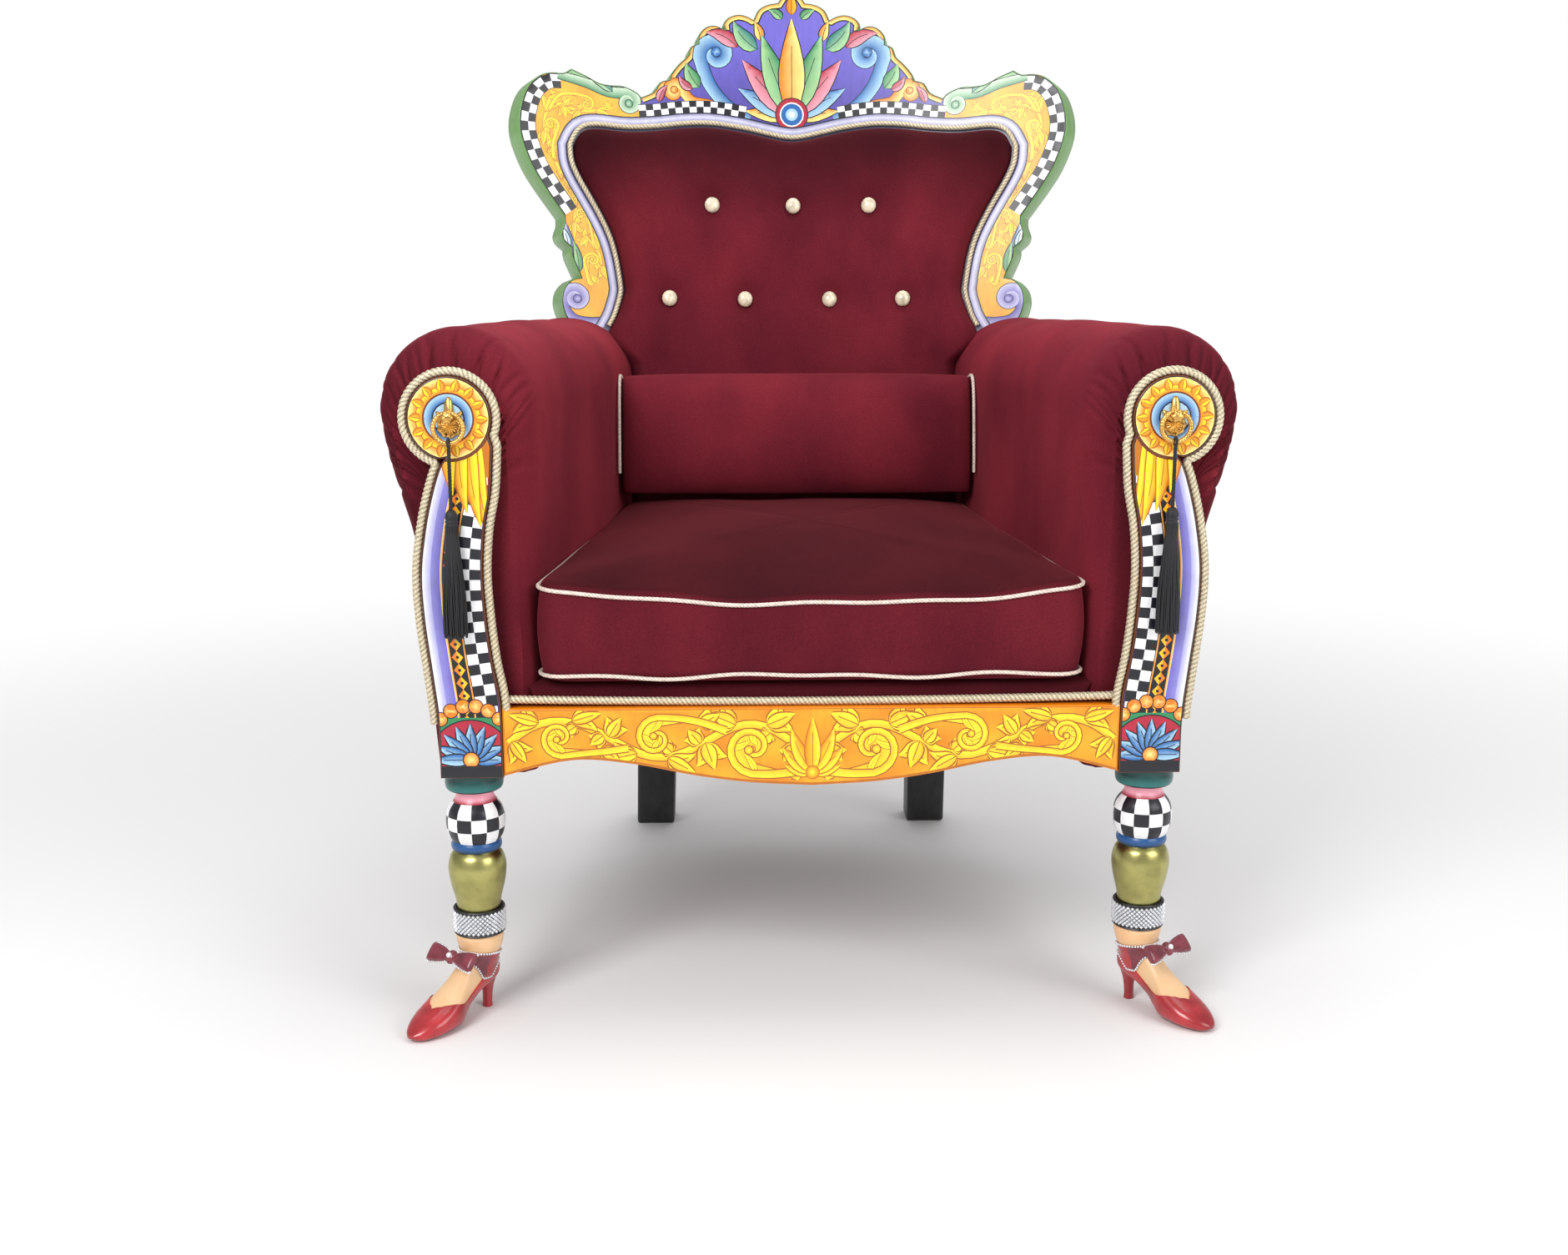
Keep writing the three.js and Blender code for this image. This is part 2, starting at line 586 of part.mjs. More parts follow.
function bowGeometry() {
  const loopRing = (w, tall, thick) => [
    new THREE.Vector3(w, -thick / 2, -tall / 2), new THREE.Vector3(w, thick / 2, -tall / 2),
    new THREE.Vector3(w, thick / 2, tall / 2), new THREE.Vector3(w, -thick / 2, tall / 2),
  ];
  const rings = [[-BOW.reach, 20, 9], [-20, 19, 10], [-5, 11, 8], [5, 11, 8], [20, 19, 10], [BOW.reach, 20, 9]];
  const loops = solidOf(loft(rings.map(([w, tall, thick]) => loopRing(w, tall, thick))));
  const knot = solidOf(new THREE.SphereGeometry(BOW.knot, 10, 6).translate(0, 4, 0));
  return geometryOf(loops.add(knot)).rotateX(BOW.tilt).translate(0, BOW.t + 9, BOW.z + 9);
}

// Turns a piece drawn along t to point out of a front corner, with its heel tip in place.
function placeFoot(geometry) {
  return geometry.rotateZ(Math.PI + FOOT_TURN).translate(HEEL_TIP.x, HEEL_TIP.y, 0);
}

function cuffGeometry() {
  const { bottom, top, outer, inner } = CUFF;
  const ring = [[inner, bottom], [outer, bottom + 1], [outer, top - 1], [inner, top], [inner, bottom]];
  return turned(ring, LEG_X, LEG_Y, 16);
}

function backLeg() {
  const half = BACK_LEG.width / 2;
  const ring = (x, y, z) => [[-1, -1], [1, -1], [1, 1], [-1, 1]].map(
    ([i, j]) => new THREE.Vector3(x + i * half, y + j * half, z),
  );
  const { topX, topY, bottomX, bottomY } = BACK_LEG;
  return loft([ring(bottomX, bottomY, 0), ring(topX, topY, DECK_BOTTOM_Z - GAP)]);
}

// Seat

const deckHalfAt = (y) => armMiddleX(y) - armInner(y) - GAP;
function deckGeometry() {
  const right = [DECK_FRONT_Y, 490, ARM_BACK_Y].map((y) => [deckHalfAt(y), y]);
  const left = right.map(([x, y]) => [-x, y]).reverse();
  const ring = (z) => [...right, ...left].map(([x, y]) => new THREE.Vector3(x, y, z));
  const box = solidOf(loft([ring(DECK_BOTTOM_Z), ring(DECK_TOP_Z)]));
  return geometryOf(box.subtract(behindSolid));
}

// Serpentine apron between the two blocks, in [x, z].
const APRON_EDGE = [[BLOCK_IN_X - GAP, 302], [277, 320], [207, 315], [137, 301], [72, 292], [0, 288]];
function apronGeometry() {
  const half = smooth(APRON_EDGE, 4);
  const right = [new THREE.Vector2(BLOCK_IN_X - GAP, APRON_TOP_Z), ...half];
  const left = right.slice(0, -1).map((p) => new THREE.Vector2(-p.x, p.y)).reverse();
  return slab([...right, ...left].reverse(), 1, 1 + APRON_T);
}

function apronCord() {
  const halfSpan = BLOCK_IN_X - CORD_D - 4;
  const sag = 4;
  const steps = 8;
  const path = Array.from({ length: steps + 1 }, (_, i) => {
    const x = -halfSpan + (2 * halfSpan * i) / steps;
    const z = APRON_TOP_Z + CORD_D / 2 + GAP + sag * (x / halfSpan) ** 2;
    return new THREE.Vector3(x, 12, z);
  });
  return tube(path, CORD_D, Y_AXIS);
}

// A rounded four-sided plan, wider at the front.
function cushionPlan(grow, heightAt) {
  const corner = 34;
  const perCorner = 5;
  const corners = [
    [SEAT_FRONT_HALF, SEAT_FRONT_Y, -Math.PI / 2], [SEAT_BACK_HALF, SEAT_BACK_Y, 0],
    [-SEAT_BACK_HALF, SEAT_BACK_Y, Math.PI / 2], [-SEAT_FRONT_HALF, SEAT_FRONT_Y, Math.PI],
  ];
  return corners.flatMap(([x, y, start]) => {
    const cx = x - Math.sign(x) * corner;
    const cy = y + (y === SEAT_FRONT_Y ? corner : -corner);
    return Array.from({ length: perCorner + 1 }, (_, i) => {
      const a = start + (Math.PI / 2) * (i / perCorner);
      const middleY = (SEAT_FRONT_Y + SEAT_BACK_Y) / 2;
      const px = cx + corner * Math.cos(a);
      const py = cy + corner * Math.sin(a);
      const planX = px * grow;
      const planY = middleY + (py - middleY) * grow;
      return new THREE.Vector3(planX, planY, heightAt(planX, planY));
    });
  });
}

// Height over the floor at a place near the top edge, or a step above the flat bottom.
const nearTop = (step) => (x, y) => {
  const back = (y - SEAT_FRONT_Y) / (SEAT_BACK_Y - SEAT_FRONT_Y);
  const lift = SEAT_CORNER_LIFT * (x / SEAT_FRONT_HALF) ** 2 * Math.max(0, 1 - back);
  return SEAT_BOTTOM_Z + SEAT_EDGE_H + SEAT_RISE * back + lift + step;
};
const nearBottom = (step) => () => SEAT_BOTTOM_Z + step;

function seatCushion() {
  return loft([
    cushionPlan(0.985, nearBottom(0)), cushionPlan(0.995, nearBottom(6)), cushionPlan(0.995, nearTop(-4)),
    cushionPlan(0.985, nearTop(1)), cushionPlan(0.85, nearTop(SEAT_CROWN * 0.55)),
    cushionPlan(0.62, nearTop(SEAT_CROWN * 0.88)), cushionPlan(0.3, nearTop(SEAT_CROWN)),
  ]);
}

// Lumbar cushion: a plump box that leans on the inside back.
function lumbarRing(x, share) {
  const { height, thickness } = LUMBAR;
  const count = 16;
  return Array.from({ length: count }, (_, i) => {
    const a = (Math.PI * 2 * i) / count;
    const round = 0.55;
    const c = Math.sign(Math.cos(a)) * Math.abs(Math.cos(a)) ** round;
    const s = Math.sign(Math.sin(a)) * Math.abs(Math.sin(a)) ** round;
    return new THREE.Vector3(x, (thickness / 2) * c * share, (height / 2) * s * (0.9 + 0.1 * share));
  });
}

function setLumbar(geometry) {
  return geometry.rotateX(-THREE.MathUtils.degToRad(LUMBAR.lean)).translate(0, LUMBAR.y, LUMBAR.z);
}

function lumbarCushion() {
  const { halfWidth } = LUMBAR;
  const rings = [[-1, 0.7], [-0.96, 0.86], [-0.7, 0.97], [0, 1], [0.7, 0.97], [0.96, 0.86], [1, 0.7]];
  const whole = solidOf(setLumbar(loft(rings.map(([share, full]) => lumbarRing(halfWidth * share, full)))));
  const seat = solidOf(seatCushion());
  return geometryOf(whole.subtract(padKnifeSolid).subtract(solidOf(seatKnife())).subtract(seat));
}

// The seat cushion with a little room over it, to trim what rests on it.
function seatKnife() {
  return seatCushion().translate(0, 0, GAP);
}

function lumbarPiping(side) {
  const ring = lumbarRing(LUMBAR.halfWidth + PIPING_D / 2 + GAP, 0.86).filter((p) => p.y < 18 && p.z > -52);
  const ordered = ring.sort((a, b) => Math.atan2(a.z + 200, a.y) - Math.atan2(b.z + 200, b.y));
  const path = ordered.map((p) => new THREE.Vector3(p.x, p.y, p.z));
  return flip(setLumbar(tube(path, PIPING_D, X_AXIS)), side);
}

function seatPiping(heightAt) {
  const grow = 1 + (PIPING_D / 2 + GAP) / SEAT_FRONT_HALF;
  const middleY = (SEAT_FRONT_Y + SEAT_BACK_Y) / 2;
  const plan = cushionPlan(grow, heightAt);
  plan.forEach((p) => {
    p.y += Math.sign(p.y - middleY) * 0.8;
  });
  return closedTube(plan, PIPING_D, Z_AXIS);
}

// Assembly

add("seat_deck", deckGeometry(), "velvet");
add("front_apron", apronGeometry(), "gold");
add("apron_cord", apronCord(), "cord");
add("seat_cushion", seatCushion(), "velvet");
add("seat_piping_top", seatPiping(nearTop(-6)), "piping");
add("seat_piping_bottom", seatPiping(nearBottom(8)), "piping");
add("lumbar_cushion", lumbarCushion(), "velvet");

for (const [word, side] of [["left", -1], ["right", 1]]) {
  add(`${word}_arm`, flip(armGeometry(), side), "velvet");
  add(`${word}_arm_front`, flip(slab([...panelOutline].reverse(), 0, PANEL_T), side), "gold");
  add(`${word}_arm_cord`, flip(edgingCord(), side), "cord");
  add(`${word}_pull_plate`, pullPlate().translate(side * PULL_X, 0, 0), "brass");
  add(`${word}_pull_ring`, pullRing().translate(side * PULL_X, 0, 0), "brass");
  add(`${word}_tassel_cord`, tasselCord().translate(side * PULL_X, 0, 0), "black");
  add(`${word}_tassel`, tasselGeometry().translate(side * PULL_X, RING_Y, 0), "black");
  add(`${word}_front_leg`, turned(LEG_PROFILE, side * LEG_X, LEG_Y, 12), "legGold");
  add(`${word}_ankle_band`, flip(cuffGeometry(), side), "crystal");
  add(`${word}_foot`, flip(footGeometry(), side), "shoe");
  add(`${word}_bow`, flip(placeFoot(bowGeometry()), side), "bow");
  add(`${word}_back_leg`, flip(backLeg(), side), "ebony");
  add(`${word}_lumbar_piping`, lumbarPiping(side), "piping");
}

// The origin is on the floor, under the middle of the whole throne.
const bounds = new THREE.Box3().setFromObject(throne, true);
const middle = bounds.getCenter(new THREE.Vector3());
throne.position.set(-middle.x, -middle.y, -bounds.min.z);

export default throne;
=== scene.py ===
"""Dresses the throne's frame with velvet, painted boards, trimmings, turned legs and shoes."""

import math

import bmesh
import bpy
import numpy as np
from bpy.props import FloatProperty, FloatVectorProperty, IntProperty, PointerProperty
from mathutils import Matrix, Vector
from mathutils.bvhtree import BVHTree
from mathutils.geometry import delaunay_2d_cdt


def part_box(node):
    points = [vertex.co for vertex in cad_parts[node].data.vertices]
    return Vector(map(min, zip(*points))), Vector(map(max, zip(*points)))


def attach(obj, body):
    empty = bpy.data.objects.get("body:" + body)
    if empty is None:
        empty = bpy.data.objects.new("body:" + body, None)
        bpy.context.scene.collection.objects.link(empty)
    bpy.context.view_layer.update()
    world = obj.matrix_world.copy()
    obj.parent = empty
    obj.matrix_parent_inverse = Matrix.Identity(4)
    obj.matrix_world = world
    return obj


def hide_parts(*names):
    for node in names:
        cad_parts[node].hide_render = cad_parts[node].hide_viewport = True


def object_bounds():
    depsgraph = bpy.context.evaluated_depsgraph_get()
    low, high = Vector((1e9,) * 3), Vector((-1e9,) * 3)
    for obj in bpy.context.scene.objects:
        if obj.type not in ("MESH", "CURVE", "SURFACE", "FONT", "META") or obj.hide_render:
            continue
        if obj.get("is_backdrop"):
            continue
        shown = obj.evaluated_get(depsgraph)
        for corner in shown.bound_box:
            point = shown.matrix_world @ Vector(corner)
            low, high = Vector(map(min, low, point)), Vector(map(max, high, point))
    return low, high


bl_info = {
    "name": "Painted Throne",
    "version": (1, 0, 0),
    "blender": (4, 5, 0),
    "location": "View3D > Sidebar > Throne",
    "description": "Makes the upholstery, painted boards, trimmings, legs and shoes of a throne",
    "category": "Object",
}

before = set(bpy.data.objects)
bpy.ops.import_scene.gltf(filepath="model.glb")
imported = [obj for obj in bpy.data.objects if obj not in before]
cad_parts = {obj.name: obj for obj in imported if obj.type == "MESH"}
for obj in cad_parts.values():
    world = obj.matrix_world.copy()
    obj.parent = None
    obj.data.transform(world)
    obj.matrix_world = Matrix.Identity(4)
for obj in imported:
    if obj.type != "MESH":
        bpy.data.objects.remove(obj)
CAD_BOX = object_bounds()

# Lengths below are millimetres, with Y measured back from the plane of the arm fronts
MM = 0.001
FRONT_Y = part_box("left_arm_front")[0][1]
SIDES = (("left", -1.0), ("right", 1.0))
WHITE = (1.0, 1.0, 1.0)

# Camera, matched to the photograph's frame, and lamps as (name, place, watts, size), all in metres
CAMERA_PLACE = (-0.088, FRONT_Y - 1.850, 0.8513)
CAMERA_TURN = (math.radians(78.5), 0.0, math.radians(-1.7))
CAMERA_LENS = 38.3
LAMPS = (("key", (-1.5, FRONT_Y - 2.2, 2.3), 70.0, 1.4), ("fill", (1.9, FRONT_Y - 1.6, 1.6), 30.0, 1.6),
         ("top", (0.2, 0.3, 3.2), 34.0, 2.2))
LAMP_AIM = (0.0, 0.0, 0.7)
GLOW = 0.5
FLOOR_REACH = 30.0

# Back: a board bent round an upright axis and leaned about a level one
BACK_R = 820.0
BACK_T = 44.0
BACK_LEAN = math.radians(7.0)
PIVOT_Y = 690.0
PIVOT_Z = 800.0
BOARD_RUNS = (
    ((0, 1290), (11, 1281), (20, 1268)),
    ((20, 1268), (36, 1265), (49, 1257), (56, 1243)),
    ((56, 1243), (66, 1248), (79, 1250), (93, 1245), (101, 1235), (98, 1227)),
    ((98, 1227), (112, 1233), (126, 1230), (137, 1218), (138, 1206)),
    ((138, 1206), (149, 1200), (153, 1188), (166, 1175), (177, 1161), (180, 1152)),
    ((180, 1152), (194, 1147), (203, 1133), (221, 1124)),
    ((221, 1124), (228, 1131), (246, 1138), (265, 1138), (281, 1140), (298, 1148), (319, 1156)),
    ((319, 1156), (330, 1149), (346, 1148), (362, 1142), (378, 1125), (387, 1102), (391, 1076),
     (388, 1050), (375, 1014), (356, 982), (332, 947)),
    ((332, 947), (332, 936), (336, 922), (333, 911), (323, 902)),
    ((323, 902), (322, 890), (314, 870), (310, 860)),
    ((310, 860), (323, 856), (334, 842), (337, 824), (333, 806), (325, 792)),
    ((325, 792), (345, 772), (378, 748), (402, 706), (404, 660), (388, 590), (378, 520), (374, 430),
     (368, 330)),
)
PAD_TOP = ((0, 1065), (18, 1067), (47, 1073), (76, 1079), (120, 1084), (160, 1082), (200, 1076),
           (243, 1072), (287, 1073), (307, 1066), (318, 1046))
PAD_FLANK = ((318, 1046), (316, 1025), (307, 1004), (292, 978), (277, 951), (264, 923), (256, 896),
             (251, 868), (248, 845))
PAD_TAIL = ((251, 831), (260, 806), (270, 786), (272, 764), (248, 740))
PAD_FOOT_Z = 420.0
PAD_HALF = 245.0
BRAID_FOOT = ((250, 832), (258, 806), (267, 788))
BRAID_OUT = 6.4
BRAID_D = 7.6
BRAID_LIFT = 5.85
CREST_CHECKER = 0.88
LILAC_OUT = 21.5
OUTSIDE_T = 10.5
BUTTON_PLACES = ((-124, 966), (0, 966), (116, 966), (-190, 830), (-75, 830), (56, 830), (168, 830))
OUTSIDE_HALF = ((0, 1052), (120, 1066), (230, 1058), (292, 1046), (303, 1018), (280, 962), (262, 900),
                (270, 800), (300, 740), (316, 680), (312, 560), (304, 372))

# Arms and their painted fronts
ARM_X = 402.0
SCROLL_Z = 711.0
SCROLL_R = 46.5
ARM_ROLL_R = 90.0
ARM_ROLL_Z = 720.0
ARM_TOE_IN = 0.0926
PANEL_T = 24.0
PANEL_INNER = ((355, 300), (355, 372), (357, 400), (364, 440), (369, 490), (371, 540), (367, 590),
               (359, 632), (355.5, 680))
PANEL_OUTER = ((407, 668), (415, 655), (424, 628), (433, 590), (440, 541), (439, 488), (432, 420),
               (427, 366), (427, 300))
ARM_OUTER = ((36, 300), (44, 400), (50, 500), (56, 570), (70, 622), (84, 676))
ARM_INNER = ((-90, 620), (-90, 500), (-89, 400), (-88, 300))
ARM_FRONT_Y = 24.5
ARM_BODY_Y = 98.5
ARM_REAR_Y = 760.0
PLEAT_RUN = (330.0, 765.0)
ARM_DRAW = 0.26
ARM_DRAW_Z = 620.0
ARM_SWELL = 80.0
CORD_D = 9.8
CORD_OUT = 5.25
CORD_Y = 5.75
PANEL_CHECKER = 12.2

# Painting: the half width above which a shaded stroke is cut across, and a vine's tufts as (place along a
# wave, place across it, run along it, run across it)
RUNG_HALF = 2.0
VINE_TUFTS = ((0.04, 0.6, -0.2, 0.36), (0.97, -0.04, -0.12, 0.84), (0.34, -0.62, -0.3, -0.36),
              (0.66, -0.62, 0.3, -0.36), (0.3, -0.4, 0.12, 0.3), (0.02, -0.02, 0.14, 0.44))
VINE_LEAD = ((-0.24, 0.44), (0.0, 0.66), (0.24, 0.79), (0.48, 0.82))

# Apron and seat
APRON_TOP_Z = 381.0
APRON_Y = (1.0, 23.0)
APRON_FOOT = ((354.5, 302), (277, 320), (207, 315), (137, 301), (72, 292), (0, 288))
APRON_CORD_HALF = 347.0
DECK_Y = (25.0, 150.0, 320.0, 490.0, 560.0)
DECK_LEVELS = ((322, 12), (322, 3), (325, 0), (390, 0), (398, 2.5), (403, 8), (405, 18), (405, 60))
SEAT_Y = (14.0, 566.0)
SEAT_MIDDLE = (SEAT_Y[0] + SEAT_Y[1]) / 2
SEAT_HALF = (311.0, 242.0)
SEAT_CORNER = 25.0
SEAT_FOOT_Z = 408.0
SEAT_EDGE = 98.0
SEAT_RISE = 42.0
SEAT_CORNER_LIFT = 16.0
SEAT_CROWN = 26.0
PIPING_D = 4.9
PIPING_PITCH = 4.6
PIPING_OUT = 3.0
LUMBAR_HALF = 245.0
LUMBAR_END = 0.7
LUMBAR_PLACE = (530.0, 642.0)
LUMBAR_SIZE = (104.0, 178.0)
LUMBAR_LEAN = math.radians(10.0)
FILLING = {"quality": 6, "mass": 0.3, "tension_stiffness": 20.0, "compression_stiffness": 20.0,
           "shear_stiffness": 8.0, "bending_stiffness": 0.6, "use_pressure": True}
FILL_STEPS = 20

# Legs and feet
LEG_PLACE = (395.0, 40.0)
LEG_PROFILE = ((25.8, 112), (25.8, 133), (27, 143), (32, 164), (34, 182), (31, 196), (26, 203), (29, 206),
               (29.5, 211), (28, 215), (32.5, 224), (34.5, 239), (32, 254), (25, 264), (22, 270), (23, 275),
               (32, 279), (34, 287), (33, 294), (33, 299.5))
BAND_PROFILE = ((26.9, 101), (29.6, 101), (30.4, 102), (29.6, 103.2), (29.4, 130), (30.4, 131), (29.6, 132),
                (26.9, 132))
STONE_LEVELS = ((0.78, 29.2), (0.84, 30.2), (0.45, 31.6))
FOOT_TURN = math.radians(35.4)
HEEL_PLACE = (391.0, 50.0)
FOOT_STATIONS = ((-13, 45, 62, 5), (-11, 40, 66, 12), (-4, 35, 72, 16.5), (8, 31, 76, 18), (20, 27, 78, 18),
                 (31, 21, 74, 17.5), (42, 14, 65, 18), (54, 5, 54, 21.5), (65, 0, 45, 25.5),
                 (79, 0, 36, 26.5), (95, 0, 28, 25), (109, 0, 21.5, 20), (120, 1.5, 14.5, 13),
                 (126.5, 5, 9.5, 5))
SHOE_LINE = ((-13, 66), (-6, 66), (4, 61), (14, 53), (26, 43), (38, 35), (50, 30), (58, 29.5), (66, 31.5),
             (74, 33.3), (82, 32.8), (88, 31.1), (93, 30))
HEEL_LEVELS = ((-5.5, 5.5, 6, 0), (-5.6, 5.0, 5.4, 8), (-8, 6.0, 6.2, 24), (-11.5, 13, 11.5, 40),
               (-10, 12, 12, 50))
BOW_SPANS = ((2.5, 8, 9), (8, 13, 8), (16, 18.5, 9.5), (25, 22, 10.5), (32, 23, 9), (34.6, 21, 6))
BACK_LEG_HEAD = (205.0, 640.0, 321.5)
BACK_LEG_FOOT = (219.0, 776.0, 0.0)
BACK_LEG_HALF = 30.0
SOLE_POWER = 0.72
ANKLE = ((58, 15), (70, 20), (84, 26), (95, 28.2), (100.2, 28.0))

# Pulls and tassels
PULL_X = 401.0
PLATE_Z = 703.0
RING_Z = 701.0
RING_Y = -10.5
RING_R = 16.5
RING_WIRE = 2.7
TASSEL_CORD_X = 0.401
TASSEL_CORD_Y = FRONT_Y - 0.0105
TASSEL_CORD_Z = (0.6813, 0.6756, 0.6699, 0.6641, 0.6584, 0.6527, 0.6469, 0.6412, 0.6355, 0.6297, 0.6240,
                 0.6183, 0.6125)
TASSEL_CORD_D = 0.0045
TASSEL_HEAD = ((6.4, 592), (7.4, 594), (6.3, 596), (7.4, 598), (6.3, 600), (7.2, 602), (6.8, 606), (4.6, 610),
               (1.6, 612))
TASSEL_BODY = ((0.4, 468), (11.5, 468.5), (12.0, 490), (11.2, 530), (9.0, 580), (6.4, 592))


def linear(code):
    """A colour written as six hex digits, as the linear values that shaders use."""
    parts = [int(code[i:i + 2], 16) / 255.0 for i in (0, 2, 4)]
    return tuple(c / 12.92 if c <= 0.04045 else ((c + 0.055) / 1.055) ** 2.4 for c in parts)


def colour(name, description, code):
    """A colour property with its default as hex digits."""
    return FloatVectorProperty(name=name, description=description, subtype="COLOR", size=3,
                               min=0.0, max=1.0, default=linear(code))


class ThroneColours(bpy.types.PropertyGroup):
    """Colours of the throne's cloth, paint and metal."""

    velvet: colour("Velvet", "Burgundy pile of the upholstery", "7C2430")
    velvet_shade: colour("Velvet shade", "Velvet where the pile lies away from the light", "651B29")
    velvet_glow: colour("Velvet glow", "Light caught at the edges of the pile", "D8606A")
    braid: colour("Braid", "Champagne thread of the braids and cords", "E0D2B2")
    piping: colour("Piping", "Pale cord on the cushions' seams", "F3DFD2")
    button: colour("Buttons", "Cream satin of the buttons", "EADCC0")
    brass: colour("Brass", "Ring pulls", "DDAE5E")
    tassel: colour("Tassel", "Black thread of the tassels", "101115")
    gilt: colour("Gilt", "Old gold of the turned vases", "ABA668")
    stone: colour("Stones", "Cut stones round the ankles", "E4E6EA")
    flesh: colour("Flesh", "Painted skin of the carved feet", "F3C798")
    shoe: colour("Shoes", "Red lacquer of the shoes", "B01822")
    bow: colour("Bows", "Plum lacquer of the straps and bows", "7A2233")
    back_leg: colour("Back legs", "Black stain of the back legs", "1C1C1E")
    yellow: colour("Yellow", "Paint: yellow ground", "F7C325")
    orange: colour("Orange", "Paint: orange scrolls", "EF7F12")
    cream: colour("Cream", "Paint: pale yellow lights", "FFE98A")
    amber: colour("Amber", "Paint: orange leaves on gold", "F48C08")
    sun: colour("Sun", "Paint: bright yellow lights", "FFEA2C")
    rust: colour("Rust", "Paint: outlines on gold", "C0700E")
    umber: colour("Umber", "Paint: brown outlines", "6B3410")
    violet: colour("Violet", "Paint: violet fields", "6257BE")
    lilac: colour("Lilac", "Paint: pale violet borders", "B2B1E6")
    white: colour("White", "Paint: white", "F5F6F9")
    black: colour("Black", "Paint: blue black", "10121C")
    green: colour("Green", "Paint: leaf green", "2F8A57")
    mint: colour("Mint", "Paint: pale green lights", "A8D59B")
    edge: colour("Edge", "Paint: green of the board's sawn edge", "6E9E57")
    teal: colour("Teal", "Paint: blue green", "1F7D7A")
    blue: colour("Blue", "Paint: blue scrolls", "2468B0")
    sky: colour("Sky", "Paint: pale blue lights", "A9D3EE")
    pink: colour("Pink", "Paint: rose", "EBA3B4")
    crimson: colour("Crimson", "Paint: dark red", "B3203A")


class ThroneSizes(bpy.types.PropertyGroup):
    """Sizes of the throne's finishing details."""

    cord_pitch: FloatProperty(name="Cord pitch", description="Length of one strand's turn on the braids",
                              default=0.0054, unit="LENGTH")
    board_round: FloatProperty(name="Board rounding", description="Rounding of the painted boards' edges",
                               default=0.0022, unit="LENGTH")
    checker: FloatProperty(name="Checker", description="Width of one painted checker",
                           default=0.0092, unit="LENGTH")
    gather: FloatProperty(name="Gathers", description="Depth of the velvet's folds round the arm fronts",
                          default=0.0042, unit="LENGTH")
    tuft: FloatProperty(name="Tufting", description="How far a button pulls the back pad in",
                        default=0.011, unit="LENGTH")
    pressure: FloatProperty(name="Filling pressure", description="Pressure inside the cushions", default=4.0)
    strands: IntProperty(name="Tassel strands", description="Threads round each tassel", default=46)
    stone_rows: IntProperty(name="Stone rows", description="Rows of stones on each ankle band", default=9)
    stones: IntProperty(name="Stones", description="Stones in one row", default=34)


def colours():
    """The throne's colours by name."""
    group = bpy.context.scene.throne_colours
    return {name: np.array(getattr(group, name)) for name in ThroneColours.__annotations__}


def sizes():
    """The throne's finishing sizes."""
    return bpy.context.scene.throne_sizes


# Lines and surfaces

def spline(points, per_span):
    """Points of a smooth curve through the given points, which it keeps."""
    p = np.asarray(points, float)
    before = np.vstack([p[:1], p[:-2]])
    after = np.vstack([p[2:], p[-1:]])
    start, end = p[:-1], p[1:]
    leave, arrive = (end - before) / 2, (after - start) / 2
    made = []
    for t in np.arange(per_span) / per_span:
        made.append((2 * start - 2 * end + leave + arrive) * t ** 3
                    + (3 * end - 3 * start - 2 * leave - arrive) * t ** 2 + leave * t + start)
    return np.vstack([np.stack(made, 1).reshape(-1, p.shape[1]), p[-1:]])


def runs_line(runs, per_span):
    """One line through several smooth runs that meet at corners."""
    lines = [spline(run, per_span) for run in runs]
    return np.vstack([line[:-1] for line in lines] + [lines[-1][-1:]])


def mirrored(half):
    """A whole line from its right half, which starts or ends on the middle."""
    half = np.asarray(half, float)
    other = half[::-1] * np.array([-1.0] + [1.0] * (half.shape[1] - 1))
    return np.vstack([other[:-1] if half[0][0] == 0 else other, half])


def along(line):
    """Distance from the line's start to each of its points."""
    return np.concatenate([[0.0], np.cumsum(np.linalg.norm(np.diff(line, axis=0), axis=1))])


def even(line, step):
    """The same line with points at even steps."""
    line = np.asarray(line, float)
    length = along(line)
    places = np.linspace(0, length[-1], max(2, int(round(length[-1] / step)) + 1))
    return np.stack([np.interp(places, length, line[:, k]) for k in range(line.shape[1])], 1)


def side_step(line, distance, closed=False):
    """A flat line moved sideways, to the left of its direction where the distance is positive."""
    line = np.asarray(line, float)
    if closed:
        ahead = np.roll(line, -1, 0) - line
        behind = line - np.roll(line, 1, 0)
    else:
        ahead = np.vstack([line[1:] - line[:-1], line[-1:] - line[-2:-1]])
        behind = np.vstack([line[1:2] - line[:1], line[1:] - line[:-1]])
    ahead = ahead / np.maximum(np.linalg.norm(ahead, axis=1), 1e-9)[:, None]
    behind = behind / np.maximum(np.linalg.norm(behind, axis=1), 1e-9)[:, None]
    normal = ahead + behind
    normal = np.stack([-normal[:, 1], normal[:, 0]], 1)
    normal /= np.maximum(np.linalg.norm(normal, axis=1), 1e-6)[:, None]
    share = np.maximum(0.6, normal[:, 0] * -ahead[:, 1] + normal[:, 1] * ahead[:, 0])
    return line + normal * (np.asarray(distance) / share)[:, None]


def on_back(points):
    """Points drawn flat as (x, depth behind the face, z), bent and leaned onto the back."""
    x, depth, z = np.asarray(points, float).T
    turn = np.arcsin(np.clip(x / BACK_R, -1, 1))
    across = (BACK_R + depth) * np.sin(turn)
    behind = (BACK_R + depth) * np.cos(turn) - BACK_R
    rise = z - PIVOT_Z
    return np.stack([across, PIVOT_Y + behind * math.cos(BACK_LEAN) + rise * math.sin(BACK_LEAN),
                     PIVOT_Z - behind * math.sin(BACK_LEAN) + rise * math.cos(BACK_LEAN)], 1)


